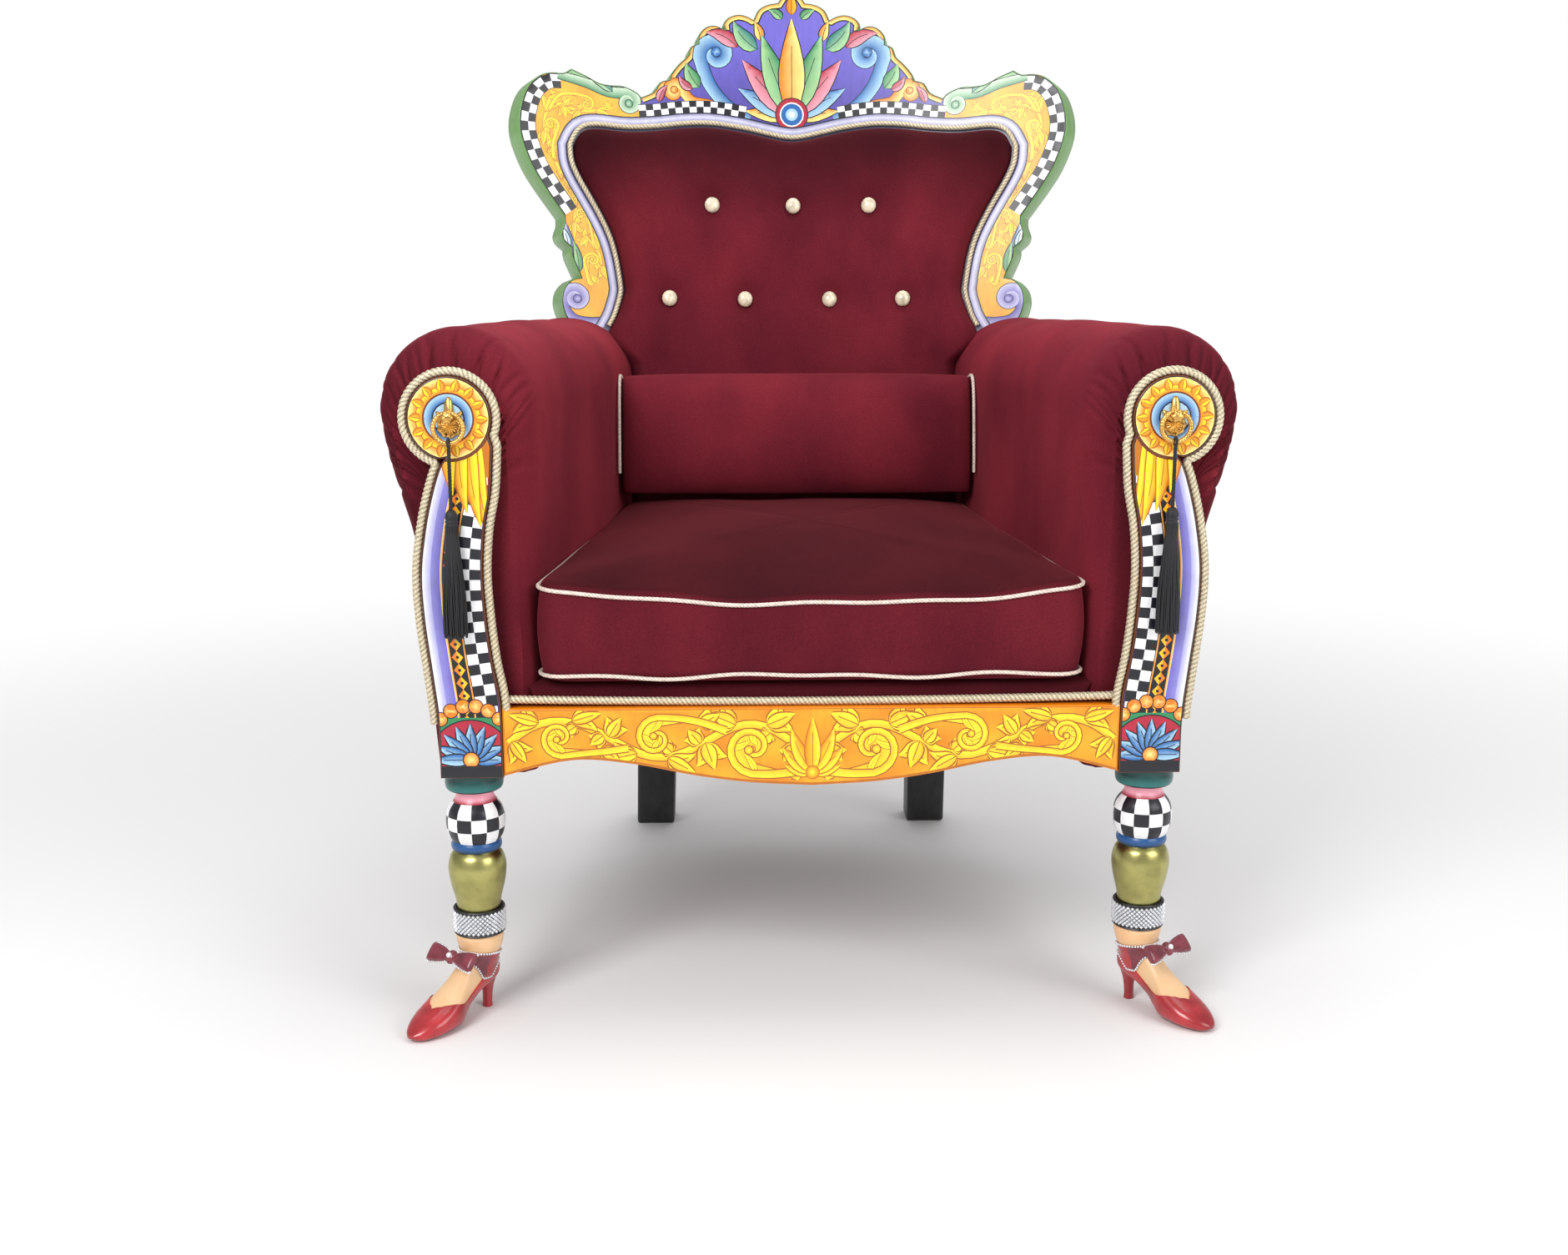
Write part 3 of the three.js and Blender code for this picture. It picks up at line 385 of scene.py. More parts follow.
def back_face_y(x, z, depth):
    """Where a level line along Y meets the back at a depth behind its face."""
    reach = np.sqrt(np.maximum((BACK_R + depth) ** 2 - x ** 2, 0)) - BACK_R
    return PIVOT_Y + (reach + (z - PIVOT_Z) * math.sin(BACK_LEAN)) / math.cos(BACK_LEAN)


def smooth_step(low, high, value):
    """0 below low, 1 above high, smooth between."""
    t = np.clip((np.asarray(value, float) - low) / (high - low), 0, 1)
    return t * t * (3 - 2 * t)


def ripple(*waves):
    """An uneven surface value from a few waves, each (strength, phase of every point)."""
    return sum(strength * np.sin(phase) for strength, phase in waves)


def turns(count):
    """Angles at even steps round a whole turn."""
    return np.arange(count) * 2 * math.pi / count


def squared(wave, power):
    """A cosine or sine drawn towards a square by a power below one."""
    return np.sign(wave) * np.abs(wave) ** power


def upright(line, depth):
    """A flat line or face set upright as (x, depth, z)."""
    return np.stack([line[:, 0], np.full(len(line), depth), line[:, 1]], 1)


def in_mm(points):
    """Points in metres as millimetres, measured as the sizes above are."""
    return points / MM - (0.0, FRONT_Y / MM, 0.0)


def read(mesh, what="co"):
    """A mesh's points, or their facings, as rows."""
    values = np.empty(len(mesh.vertices) * 3)
    mesh.vertices.foreach_get(what, values)
    return values.reshape(-1, 3)


def grid_faces(rows, columns, around=False):
    """Quads over rows of points, closed round the columns where asked."""
    faces = []
    last = columns if around else columns - 1
    for r in range(rows - 1):
        for c in range(last):
            n = (c + 1) % columns
            faces.append((r * columns + c, r * columns + n, (r + 1) * columns + n, (r + 1) * columns + c))
    return faces


class Stock:
    """Points and faces gathered for one piece, in millimetres."""

    def __init__(self):
        self.points = []
        self.faces = []
        self.finish = []
        self.paint = []
        self.count = 0

    def add(self, points, faces, finish=0, paint=WHITE):
        """Adds faces, with one paint colour, one for each face, or one for each corner of each face."""
        points = np.asarray(points, float)
        paint = np.asarray(paint, float)
        for index, face in enumerate(faces):
            self.faces.append([i + self.count for i in face])
            self.finish.append(finish)
            shade = paint if paint.ndim == 1 else paint[index]
            self.paint.append(np.broadcast_to(shade, (len(face), 3)))
        self.points.append(points)
        self.count += len(points)
        return self

    def rings(self, rings, finish=0, paint=WHITE, ends=True, closed=False):
        """A skin over rings of points, with its ends closed by fans, or run back to its start."""
        rings = np.asarray(rings, float)
        rows, columns = rings.shape[:2]
        faces = grid_faces(rows, columns, True)
        last = (rows - 1) * columns
        points = rings.reshape(-1, 3)
        shades = np.asarray(paint, float)
        if closed:
            faces += [(last + c, last + (c + 1) % columns, (c + 1) % columns, c) for c in range(columns)]
        elif ends:
            foot, head = len(points), len(points) + 1
            points = np.vstack([points, rings[0].mean(0), rings[-1].mean(0)])
            faces += [(foot, (c + 1) % columns, c) for c in range(columns)]
            faces += [(head, last + c, last + (c + 1) % columns) for c in range(columns)]
            if shades.ndim == 2:
                shades = np.vstack([shades] + [np.tile(shades[end], (columns, 1)) for end in (0, -1)])
        return self.add(points, faces, finish, shades)

    def piece(self, name, slot, nodes=(), crease=40.0, finishes=()):
        """The gathered faces as a piece on the throne's body that stands for the given nodes."""
        mesh = bpy.data.meshes.new(name)
        points = np.vstack(self.points) * MM
        points[:, 1] += FRONT_Y
        mesh.from_pydata(points.tolist(), [], self.faces)
        for word in finishes or (slot,):
            mesh.materials.append(finish(word))
        mesh.polygons.foreach_set("material_index", self.finish)
        paint = np.vstack(self.paint)
        paint = np.hstack([paint, np.ones((len(paint), 1))])
        layer = mesh.color_attributes.new("paint", "FLOAT_COLOR", "CORNER")
        layer.data.foreach_set("color", paint.astype(np.float32).ravel())
        work = bmesh.new()
        work.from_mesh(mesh)
        bmesh.ops.remove_doubles(work, verts=work.verts, dist=0.000002)
        bmesh.ops.recalc_face_normals(work, faces=work.faces)
        work.to_mesh(mesh)
        work.free()
        mesh.polygons.foreach_set("use_smooth", [True] * len(mesh.polygons))
        mesh.set_sharp_from_angle(angle=math.radians(crease))
        made = bpy.data.objects.new(name, mesh)
        bpy.context.scene.collection.objects.link(made)
        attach(made, "root")
        if nodes:
            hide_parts(*nodes)
        return made


def paint_velvet_shading(piece, tone):
    """Paints light and shade into a velvet piece: a tone for each point, worked out from its place and its
    facing.
    """
    mesh = piece.data
    corner = np.empty(len(mesh.loops), int)
    mesh.loops.foreach_get("vertex_index", corner)
    tones = tone(*in_mm(read(mesh)).T, *read(mesh, "normal").T)[corner]
    shades = np.stack([tones, tones, tones, np.ones_like(tones)], 1)
    mesh.color_attributes["paint"].data.foreach_set("color", shades.astype(np.float32).ravel())


def frames_along(path, closed=False):
    """Two directions square to a path at each of its points, turning as little as they can."""
    path = np.asarray(path, float)
    if closed:
        tangent = np.roll(path, -1, 0) - np.roll(path, 1, 0)
    else:
        tangent = np.gradient(path, axis=0)
    tangent /= np.linalg.norm(tangent, axis=1)[:, None]
    first = np.cross(tangent[0], (0.31, 0.17, 0.93))
    if np.linalg.norm(first) < 0.2:
        first = np.cross(tangent[0], (1.0, 0.0, 0.0))
    sides = [first / np.linalg.norm(first)]
    for direction in tangent[1:]:
        turned = sides[-1] - direction * np.dot(sides[-1], direction)
        sides.append(turned / np.linalg.norm(turned))
    sides = np.array(sides)
    return sides, np.cross(tangent, sides)


def tube(path, radius, around=10, closed=False):
    """Rings of a tube along a path, with a radius for the whole, for each point, or for each corner."""
    path = np.asarray(path, float)
    side, other = frames_along(path, closed)
    angle = turns(around)
    radius = np.asarray(radius, float)
    if radius.ndim < 2:
        radius = np.broadcast_to(radius.reshape(-1, 1), (len(path), around))
    return (path[:, None] + (side[:, None] * np.cos(angle)[None, :, None]
                             + other[:, None] * np.sin(angle)[None, :, None]) * radius[:, :, None])


def rope(path, diameter, pitch, lobes=3, around=12, closed=False, groove=0.2):
    """A twisted rope along a path: rings of round strands that wind about each other, with painted shade in
    the grooves between them.
    """
    path = even(np.vstack([path, path[:1]]) if closed else path, pitch / 4.5)
    if closed:
        path = path[:-1]
    length = along(path)
    if closed:
        whole = length[-1] + np.linalg.norm(path[-1] - path[0])
        pitch = whole / (lobes * max(1, round(whole / (pitch * lobes))))
    angle = turns(around)
    wind = 2 * math.pi * length / (lobes * pitch)
    strand = np.abs(np.cos(lobes * (angle[None, :] - wind[:, None]) / 2))
    rings = tube(path, diameter / 2 * (1 - groove + groove * strand), around, closed)
    # Painted shade: each face darker where it lies in a groove between strands
    shade = (strand + np.roll(strand, -1, 1)) / 2
    shade = (shade + np.roll(shade, -1, 0)) / 2
    shade = 0.4 + 0.6 * smooth_step(0.35, 0.75, shade if closed else shade[:-1])
    return Stock().rings(rings, 0, np.repeat(shade.reshape(-1, 1), 3, 1), closed=closed)


def lathe(profile, segments, centre=(0.0, 0.0)):
    """Rings of a turned form from its (radius, height) profile."""
    profile = np.asarray(profile, float)
    angle = turns(segments)
    return np.stack([centre[0] + profile[:, :1] * np.cos(angle), centre[1] + profile[:, :1] * np.sin(angle),
                     np.repeat(profile[:, 1:], segments, 1)], 2)


def dome_profile(radius, height, steps=8):
    """Profile of a low dome, from its rim to its top."""
    angle = np.linspace(0, math.pi / 2, steps)
    return np.stack([np.maximum(radius * np.cos(angle), 0.01), height * np.sin(angle)], 1)


# Finishes

class Finish:
    """A node material built round one shader."""

    def __init__(self, name, **values):
        self.material = bpy.data.materials.new(name + "_finish")
        self.material.use_nodes = True
        self.tree = self.material.node_tree
        self.shader = next(n for n in self.tree.nodes if n.type == "BSDF_PRINCIPLED")
        for socket, value in values.items():
            self.set(self.shader, socket.replace("_", " "), value)
        self.place = self.node("ShaderNodeTexCoord").outputs["Object"]

    def set(self, node, socket, value):
        """Sets one socket, with colours given as three values."""
        value = tuple(value) + (1.0,) if np.ndim(value) else value
        node.inputs[socket].default_value = value

    def node(self, kind, **settings):
        """A new node with its settings."""
        made = self.tree.nodes.new(kind)
        for name, value in settings.items():
            setattr(made, name, value)
        return made

    def link(self, source, target):
        """Joins an output to an input."""
        self.tree.links.new(source, target)

    def paint(self):
        """The colours painted on the faces, among them the painted light and shade on the velvet and the
        cords.
        """
        return self.node("ShaderNodeAttribute", attribute_name="paint").outputs["Color"]

    def coat(self, shade):
        """Takes the base colour from an output."""
        self.link(shade, self.shader.inputs["Base Color"])

    def noise(self, scale, detail=3.0, stretch=(1.0, 1.0, 1.0)):
        """A cloudy value over the surface, scaled per metre."""
        spread = self.node("ShaderNodeMapping")
        spread.inputs["Scale"].default_value = stretch
        self.link(self.place, spread.inputs["Vector"])
        made = self.node("ShaderNodeTexNoise")
        made.inputs["Scale"].default_value = scale
        made.inputs["Detail"].default_value = detail
        self.link(spread.outputs["Vector"], made.inputs["Vector"])
        return made.outputs["Fac"]

    def ramp(self, value, *stops):
        """A value turned into colours, with stops of (place, colour)."""
        made = self.node("ShaderNodeValToRGB")
        elements = made.color_ramp.elements
        while len(elements) < len(stops):
            elements.new(0.5)
        for element, (where, shade) in zip(elements, stops):
            element.position = where
            element.color = (*shade, 1.0)
        self.link(value, made.inputs["Fac"])
        return made.outputs["Color"]

    def mix(self, kind, amount, first, second):
        """Two colours mixed, with the amount a number or an output."""
        made = self.node("ShaderNodeMix", data_type="RGBA", blend_type=kind)
        if isinstance(amount, float):
            made.inputs["Factor"].default_value = amount
        else:
            self.link(amount, made.inputs["Factor"])
        self.link(first, made.inputs[6])
        self.link(second, made.inputs[7])
        return made.outputs[2]

    def tones(self, scale, dark, light, low=0.35, high=0.65, detail=3.0, stretch=(1.0, 1.0, 1.0)):
        """Cloudy base colour between two tones."""
        shade = self.ramp(self.noise(scale, detail, stretch), (low, dark), (high, light))
        self.coat(shade)
        return shade

    def gloss(self, scale, low, high, stretch=(1.0, 1.0, 1.0)):
        """Roughness that wanders between two values."""
        spread = self.node("ShaderNodeMapRange")
        spread.inputs["To Min"].default_value = low
        spread.inputs["To Max"].default_value = high
        self.link(self.noise(scale, 3.0, stretch), spread.inputs["Value"])
        self.link(spread.outputs["Result"], self.shader.inputs["Roughness"])

    def grain(self, scale, strength, depth, stretch=(1.0, 1.0, 1.0)):
        """Fine bumps, with their depth in metres."""
        bump = self.node("ShaderNodeBump")
        bump.inputs["Strength"].default_value = strength
        bump.inputs["Distance"].default_value = depth
        self.link(self.noise(scale, 4.0, stretch), bump.inputs["Height"])
        self.link(bump.outputs["Normal"], self.shader.inputs["Normal"])


def velvet_finish():
    """Burgundy velvet: a pile that glows at its edges, brushed in patches, its colour times each piece's
    painted light and shade.
    """
    hue = colours()
    made = Finish("velvet", Roughness=0.88, Sheen_Weight=0.32, Sheen_Roughness=0.36,
                  Sheen_Tint=hue["velvet_glow"], Specular_IOR_Level=0.1)
    patches = made.noise(8.0, 5.0, (1.0, 1.0, 0.6))
    brushed = made.ramp(patches, (0.36, hue["velvet_shade"]), (0.66, hue["velvet"]))
    pile = made.ramp(made.noise(620.0, 2.0), (0.3, (0.68, 0.66, 0.68)), (0.7, WHITE))
    # Painted light and shade that each velvet piece carries in its paint colours
    painted_shading = made.paint()
    brushed = made.mix("MULTIPLY", 0.8, brushed, pile)
    made.coat(made.mix("MULTIPLY", 1.0, brushed, painted_shading))
    made.grain(900.0, 0.35, 0.0006)
    return made.material


def painted_finish():
    """Varnished paint that takes its colour from the painted pattern, with soft stroke marks."""
    made = Finish("painted_wood", Coat_Weight=0.35, Coat_Roughness=0.18, Specular_IOR_Level=0.4)
    pattern = made.paint()
    marks = made.ramp(made.noise(160.0, 5.0, (1.0, 1.0, 0.35)), (0.25, (0.83, 0.82, 0.8)), (0.6, WHITE))
    clouds = made.ramp(made.noise(22.0, 3.0), (0.3, (0.9, 0.88, 0.86)), (0.6, WHITE))
    brushed = made.mix("MULTIPLY", 0.75, pattern, marks)
    made.coat(made.mix("MULTIPLY", 0.8, brushed, clouds))
    made.gloss(45.0, 0.3, 0.48)
    made.grain(240.0, 0.12, 0.0006, (1.0, 1.0, 0.4))
    return made.material


def thread_finish(name, shade, shine, metal=0.0):
    """Twisted thread with fibres, its colour darkened by the painted shade in the grooves between its
    strands.
    """
    made = Finish(name, Metallic=metal, Sheen_Weight=0.25, Sheen_Roughness=0.4)
    fibres = made.tones(420.0, shade * 0.72, np.minimum(shade * 1.1, 1.0), 0.32, 0.62)
    # Painted shade from the rope's grooves, carried in the paint colours
    groove = made.paint()
    made.coat(made.mix("MULTIPLY", 1.0, fibres, groove))
    made.gloss(90.0, shine, shine + 0.2)
    made.grain(1500.0, 0.3, 0.0004)
    return made.material


def metal_finish(name, shade, low, high, scale=60.0, hollow=0.5, metal=1.0):
    """Cast or gilded metal with worn lights and darker hollows."""
    made = Finish(name, Metallic=metal)
    made.tones(scale, shade * hollow, shade * 1.12, 0.3, 0.58)
    made.gloss(scale * 1.6, low, high)
    made.grain(scale * 5, 0.06, 0.0006)
    return made.material


def lacquer_finish(name, shade, scale=38.0):
    """Hand painted lacquer with darker and paler strokes under a gloss."""
    made = Finish(name, Coat_Weight=0.6, Coat_Roughness=0.12)
    made.tones(scale, shade * 0.62, np.minimum(shade * 1.2 + 0.012, 1.0), 0.32, 0.68, 4.0, (1.0, 1.0, 0.6))
    made.gloss(70.0, 0.22, 0.38)
    made.grain(300.0, 0.1, 0.0005)
    return made.material


def flesh_finish():
    """Painted skin, warmer in patches, under a satin varnish."""
    shade = colours()["flesh"]
    made = Finish("flesh", Coat_Weight=0.3, Coat_Roughness=0.25, Subsurface_Weight=0.08)
    made.tones(30.0, shade * np.array([0.98, 0.88, 0.8]), shade, 0.34, 0.6)
    made.gloss(60.0, 0.34, 0.48)
    made.grain(500.0, 0.06, 0.0004)
    return made.material


def black_wood_finish():
    """Black stained wood with its grain along the leg."""
    shade = colours()["back_leg"]
    made = Finish("black_wood", Coat_Weight=0.2, Coat_Roughness=0.3)
    made.tones(90.0, shade * 0.55, shade * 1.5, 0.35, 0.7, 5.0, (1.0, 1.0, 0.08))
    made.gloss(80.0, 0.4, 0.6, (1.0, 1.0, 0.1))
    made.grain(260.0, 0.25, 0.0005, (1.0, 1.0, 0.06))
    return made.material


def floor_finish():
    """Pale studio floor that brightens into the white round it."""
    made = Finish("floor", Roughness=0.8, Specular_IOR_Level=0.0, Emission_Color=WHITE)
    away = made.node("ShaderNodeVectorMath", operation="LENGTH")
    made.link(made.place, away.inputs[0])
    fade = made.node("ShaderNodeMapRange", interpolation_type="SMOOTHSTEP")
    fade.inputs["From Min"].default_value = 0.6
    fade.inputs["From Max"].default_value = 2.8
    made.link(away.outputs["Value"], fade.inputs["Value"])
    made.coat(made.ramp(fade.outputs["Result"], (0.0, (0.87, 0.87, 0.87)), (1.0, (0.0, 0.0, 0.0))))
    made.link(fade.outputs["Result"], made.shader.inputs["Emission Strength"])
    return made.material


def finish(name):
    """A finish by name, made the first time it is asked for."""
    if name + "_finish" in bpy.data.materials:
        return bpy.data.materials[name + "_finish"]
    hue = colours()
    makers = {
        "velvet": velvet_finish,
        "painted_wood": painted_finish,
        "braid": lambda: thread_finish("braid", hue["braid"], 0.34, 0.3),
        "piping": lambda: thread_finish("piping", hue["piping"], 0.45, 0.1),
        "button": lambda: lacquer_finish("button", hue["button"], 120.0),
        "brass": lambda: metal_finish("brass", hue["brass"], 0.18, 0.32, 130.0, 0.7),
        "tassel": lambda: thread_finish("tassel", hue["tassel"], 0.5),
        "gilt": lambda: metal_finish("gilt", hue["gilt"], 0.24, 0.36, 40.0, 0.82),
        "stones": lambda: metal_finish("stones", hue["stone"], 0.08, 0.2, 300.0, 0.8, 0.35),
        # The setting is the stones' colour at a tenth: painted shade in the gaps between the stones
        "setting": lambda: metal_finish("setting", hue["stone"] * 0.1, 0.4, 0.6, 300.0),
        "shoe": lambda: lacquer_finish("shoe", hue["shoe"]),
        "bow": lambda: lacquer_finish("bow", hue["bow"], 70.0),
        "flesh": flesh_finish,
        "black_wood": black_wood_finish,
    }
    return makers[name]()


# Painted boards

def mixed(first, second, amount):
    """Colours between two, for one amount or many."""
    amount = np.asarray(amount, float)[..., None]
    return np.asarray(first) * (1 - amount) + np.asarray(second) * amount


def volute(start, centre, winds, hand, shrink=0.84, steps=9):
    """A spiral from a point on its rim in towards its centre, turning left where hand is 1."""
    arm = np.asarray(start, float) - centre
    radius = np.hypot(*arm)
    s = np.linspace(0, 1, int(steps * winds * 2))
    angle = math.atan2(arm[1], arm[0]) + hand * 2 * math.pi * winds * s
    reach = radius * (1 - shrink * s ** 0.9)
    return np.stack([centre[0] + reach * np.cos(angle), centre[1] + reach * np.sin(angle)], 1)


def curl(stem, centre, winds, hand):
    """A stem that runs into a volute round a centre."""
    lead = spline(stem, 4)
    return np.vstack([lead[:-1], volute(lead[-1], centre, winds, hand)])


class Painting:
    """Flat painted shapes on one board, each laid over those before it."""

    def __init__(self, outline, ground, both=False):
        self.shapes = []
        self.lines = []
        self.both = False
        self.lay(outline, ground)
        self.both = both

    def lay(self, points, shade, line=True):
        """A flat shape, with one shade, one at each of three corners, or a function of its points."""
        points = np.asarray(points, float)
        if not callable(shade):
            shade = np.asarray(shade, float)
        self.shapes.append((points, shade))
        if self.both:
            flip = np.array([-1.0, 1.0])
            other = (lambda p: shade(p * flip)) if callable(shade) else shade
            self.shapes.append((points * flip, other))
        if line:
            self.mark(np.vstack([points, points[:1]]))

    def mark(self, line):
        """A line that the face's triangles keep to."""
        self.lines.append(line)
        if self.both:
            self.lines.append(line * np.array([-1.0, 1.0]))

    def stroke(self, path, half, left, right=None):
        """A stroke along a path, shaded from its left edge to its right."""
        path = np.asarray(path, float)
        half = np.broadcast_to(np.asarray(half, float), len(path))
        a, b = side_step(path, half), side_step(path, -half)
        left = np.broadcast_to(left, (len(path), 3))
        right = left if right is None else np.broadcast_to(right, (len(path), 3))
        for i in range(len(path) - 1):
            self.lay((a[i], b[i], b[i + 1]), (left[i], right[i], right[i + 1]), False)
            self.lay((a[i], b[i + 1], a[i + 1]), (left[i], right[i + 1], left[i + 1]), False)
        self.mark(np.vstack([a, b[::-1], a[:1]]))
        if np.any(left != right) and half.max() > RUNG_HALF:
            self.mark(np.stack([a[:-1], b[1:]], 1).reshape(-1, 2))

    def lined(self, path, half, edge, dark, left, right):
        """A shaded stroke with an outline."""
        self.stroke(path, half + edge, dark)
        self.stroke(path, half, left, right)

    def disc(self, centre, radius, middle, rim=None, steps=16):
        """A round spot, shaded from its middle to its rim."""
        rim = middle if rim is None else rim
        angle = np.linspace(0, 2 * math.pi, steps + 1)
        ring = np.asarray(centre, float) + radius * np.stack([np.cos(angle), np.sin(angle)], 1)
        for a, b in zip(ring, ring[1:]):
            self.lay((centre, a, b), (middle, rim, rim), False)
        self.mark(ring)
        if np.any(middle != rim):
            self.mark(np.array([centre, ring[0]]))

    def boss(self, centre, outer, inner, dark, middle, rim=None, steps=16):
        """A round spot with an outline."""
        self.disc(centre, outer, dark, None, steps)
        self.disc(centre, inner, middle, rim, steps)

    def ring(self, centre, inner, outer, inside, outside, steps=36):
        """A round band, shaded from its inside to its outside."""
        angle = np.linspace(0, 2 * math.pi, steps + 1)
        path = np.asarray(centre, float) + (inner + outer) / 2 * np.stack([np.cos(angle), np.sin(angle)], 1)
        self.stroke(path, (outer - inner) / 2, inside, outside)

    def tuft(self, base, tip, half, dark, body, light, edge):
        """Three pointed lobes that fan out from one root."""
        base, tip = np.asarray(base, float), np.asarray(tip, float)
        reach = tip - base
        across = np.array([-reach[1], reach[0]])
        for share, out, bend in ((0.7, 0.55, -0.25), (0.7, -0.55, 0.25), (1.0, 0.0, 0.0)):
            self.leaf(base, base + reach * share + across * out, bend, half, dark, body, light, edge)

    def leaf(self, base, tip, bend, half, dark, body, light, edge=1.3):
        """A leaf along a bent rib, outlined, with one pale half."""
        base, tip = np.asarray(base, float), np.asarray(tip, float)
        reach = tip - base
        middle = (base + tip) / 2 + np.array([-reach[1], reach[0]]) * bend
        t = np.linspace(0, 1, 8)[:, None]
        rib = (1 - t) ** 2 * base + 2 * t * (1 - t) * middle + t ** 2 * tip
        twin, self.both = self.both, self.both and (base[0] != 0 or tip[0] != 0)
        wide = half * np.sin(math.pi * t[:, 0] ** 0.72)
        self.stroke(rib, wide + edge * (wide > 0.01) + edge * 0.3, dark)
        self.stroke(rib, wide + 0.01, body, light)
        self.stroke(rib[:-2], edge * 0.4, dark)
        self.both = twin

    def leaves(self, dark, c, *rows):
        """Leaves with one outline, each (base, tip, bend, half, body, light)."""
        for base, tip, bend, half, body, light in rows:
            self.leaf(base, tip, bend, half, dark, c[body], c[light])

    def fan(self, base, bend, dark, c, *rows):
        """Leaves that fan out from one base, each (angle from upright, length, half, body, light)."""
        for angle, length, half, body, light in rows:
            lean = math.radians(angle)
            tip = base + length * np.array([math.sin(lean), math.cos(lean)])
            self.leaf(base, tip, bend * (angle > 0), half, dark, c[body], c[light])

    def scroll(self, path, half, dark, body, light):
        """A scroll that thins towards its eye, outlined and rounded by its shading."""
        t = np.linspace(0, 1, len(path))
        wide = half * (0.3 + 0.7 * np.sin(math.pi * np.clip(t * 0.9 + 0.08, 0, 1)) ** 0.7) * (1 - 0.35 * t)
        self.lined(path, wide, 1.2, dark, body, light)
        self.boss(path[-1], half * 0.62 + 1.0, half * 0.62, dark, light, body)

    def checkers(self, path, size, rows, dark, pale, stretch=1.0):
        """Rows of checkers along a path, to its right, each longer than wide by the stretch."""
        line = even(path, size * stretch)
        rails = [side_step(line, -size * r) for r in range(rows + 1)]
        self.stroke(side_step(line, -size * rows / 2), size * rows / 2 + 1.0, dark)
        for r in range(rows):
            for i in range(r % 2, len(line) - 1, 2):
                a, b = rails[r][i], rails[r][i + 1]
                c, d = rails[r + 1][i + 1], rails[r + 1][i]
                self.lay((a, d, c), pale)
                self.lay((a, c, b), pale)

    def vine(self, line, reach, pitch, dark, body, light, bold=1.0):
        """A scrolling vine along a line: a waving stem with a curl and leaves in each wave."""
        line = even(line, 2.0)
        length = along(line)
        normal = side_step(line, 1.0) - line
        count = max(1, int(length[-1] // pitch))
        pitch = length[-1] / count
        reach = np.interp(length, np.linspace(0, length[-1], len(reach)), reach)

        def spot(a, v):
            a = np.clip(a, 0, length[-1])
            place = np.array([np.interp(a, length, line[:, k]) for k in (0, 1)])
            out = np.array([np.interp(a, length, normal[:, k]) for k in (0, 1)])
            return place + out * v * np.interp(a, length, reach)

        a = np.linspace(0, length[-1], count * 9)
        side = np.sin(math.pi * a / pitch)
        stem = np.array([spot(x, 0.66 * y) for x, y in zip(a, side)])
        size = float(np.mean(reach))
        edge = size * 0.035 + 0.3
        self.lined(stem, size * bold * 0.12, edge, dark, light, body)
        for k in range(count):
            s = 1 if k % 2 == 0 else -1
            start = k * pitch
            local = float(np.interp(start + pitch / 2, length, reach)) * bold
            for u, v, du, dv in VINE_TUFTS:
                base = spot(start + u * pitch, -s * v)
                tip = spot(start + (u + du) * pitch, -s * (v + dv))
                self.tuft(base, tip, local * 0.2, dark, body, light, edge)
            lead = [spot(start + u * pitch, -s * v) for u, v in VINE_LEAD]
            eye = spot(start + 0.48 * pitch, -s * 0.04)
            path = curl(lead, eye, 1.15, s)
            t = np.linspace(0, 1, len(path))
            crescent = np.sin(math.pi * np.clip(t * 1.25 - 0.2, 0, 1)) ** 1.2
            bulge = side_step(path, s * local * 0.19 * crescent)
            self.stroke(bulge, local * 0.26 * crescent + edge, dark)
            self.stroke(bulge, local * 0.26 * crescent + 0.02, body, light)
            for share in (0.36, 0.5, 0.64):
                root = path[int(share * len(path))]
                ahead = path[int(share * len(path)) + 3] - root
                tip = root + (eye - root) * 0.6 + ahead * 0.5
                self.leaf(root, tip, 0.2 * s, local * 0.09, dark, light, light, 0.6)
            self.lined(path, local * 0.13 * (1 - 0.62 * t), edge, dark, body, light)
            self.boss(path[-1], local * 0.11 + edge, local * 0.11, dark, light, body)

    def face(self, guides):
        """The painted face as points, triangles and a shade at each triangle's corners."""
        low, high = self.shapes[0][0].min(0), self.shapes[0][0].max(0)
        posts = [np.array([(x, low[1] - 5), (x, high[1] + 5)]) for x in guides]
        points, edges = [], []
        for line in self.lines + posts:
            edges += [(len(points) + i, len(points) + i + 1) for i in range(len(line) - 1)]
            points += [Vector(spot) for spot in line.tolist()]
        made = delaunay_2d_cdt(points, edges, [], 0, 1e-3, False)
        corners = np.array([v[:] for v in made[0]])
        triangles = np.array([t[:] for t in made[2]])
        middle = corners[triangles].mean(1)
        order = np.argsort(middle[:, 0])
        triangles, middle = triangles[order], middle[order]
        owner = np.full(len(triangles), -1)
        for number, (outline, _) in enumerate(self.shapes):
            first, last = np.searchsorted(middle[:, 0], (outline[:, 0].min(), outline[:, 0].max()))
            owner[first:last][within(outline, middle[first:last])] = number
        inside = within(self.shapes[0][0], middle)
        triangles, owner = triangles[inside], owner[inside]
        used, triangles = np.unique(triangles, return_inverse=True)
        corners, triangles = corners[used], triangles.reshape(-1, 3)
        shades = np.zeros((len(triangles), 3, 3))
        order = np.argsort(owner, kind="stable")
        for group in np.split(order, np.flatnonzero(np.diff(owner[order])) + 1):
            shades[group] = self.shade_at(owner[group[0]], corners[triangles[group]])
        return corners, [tuple(t) for t in triangles.tolist()], shades

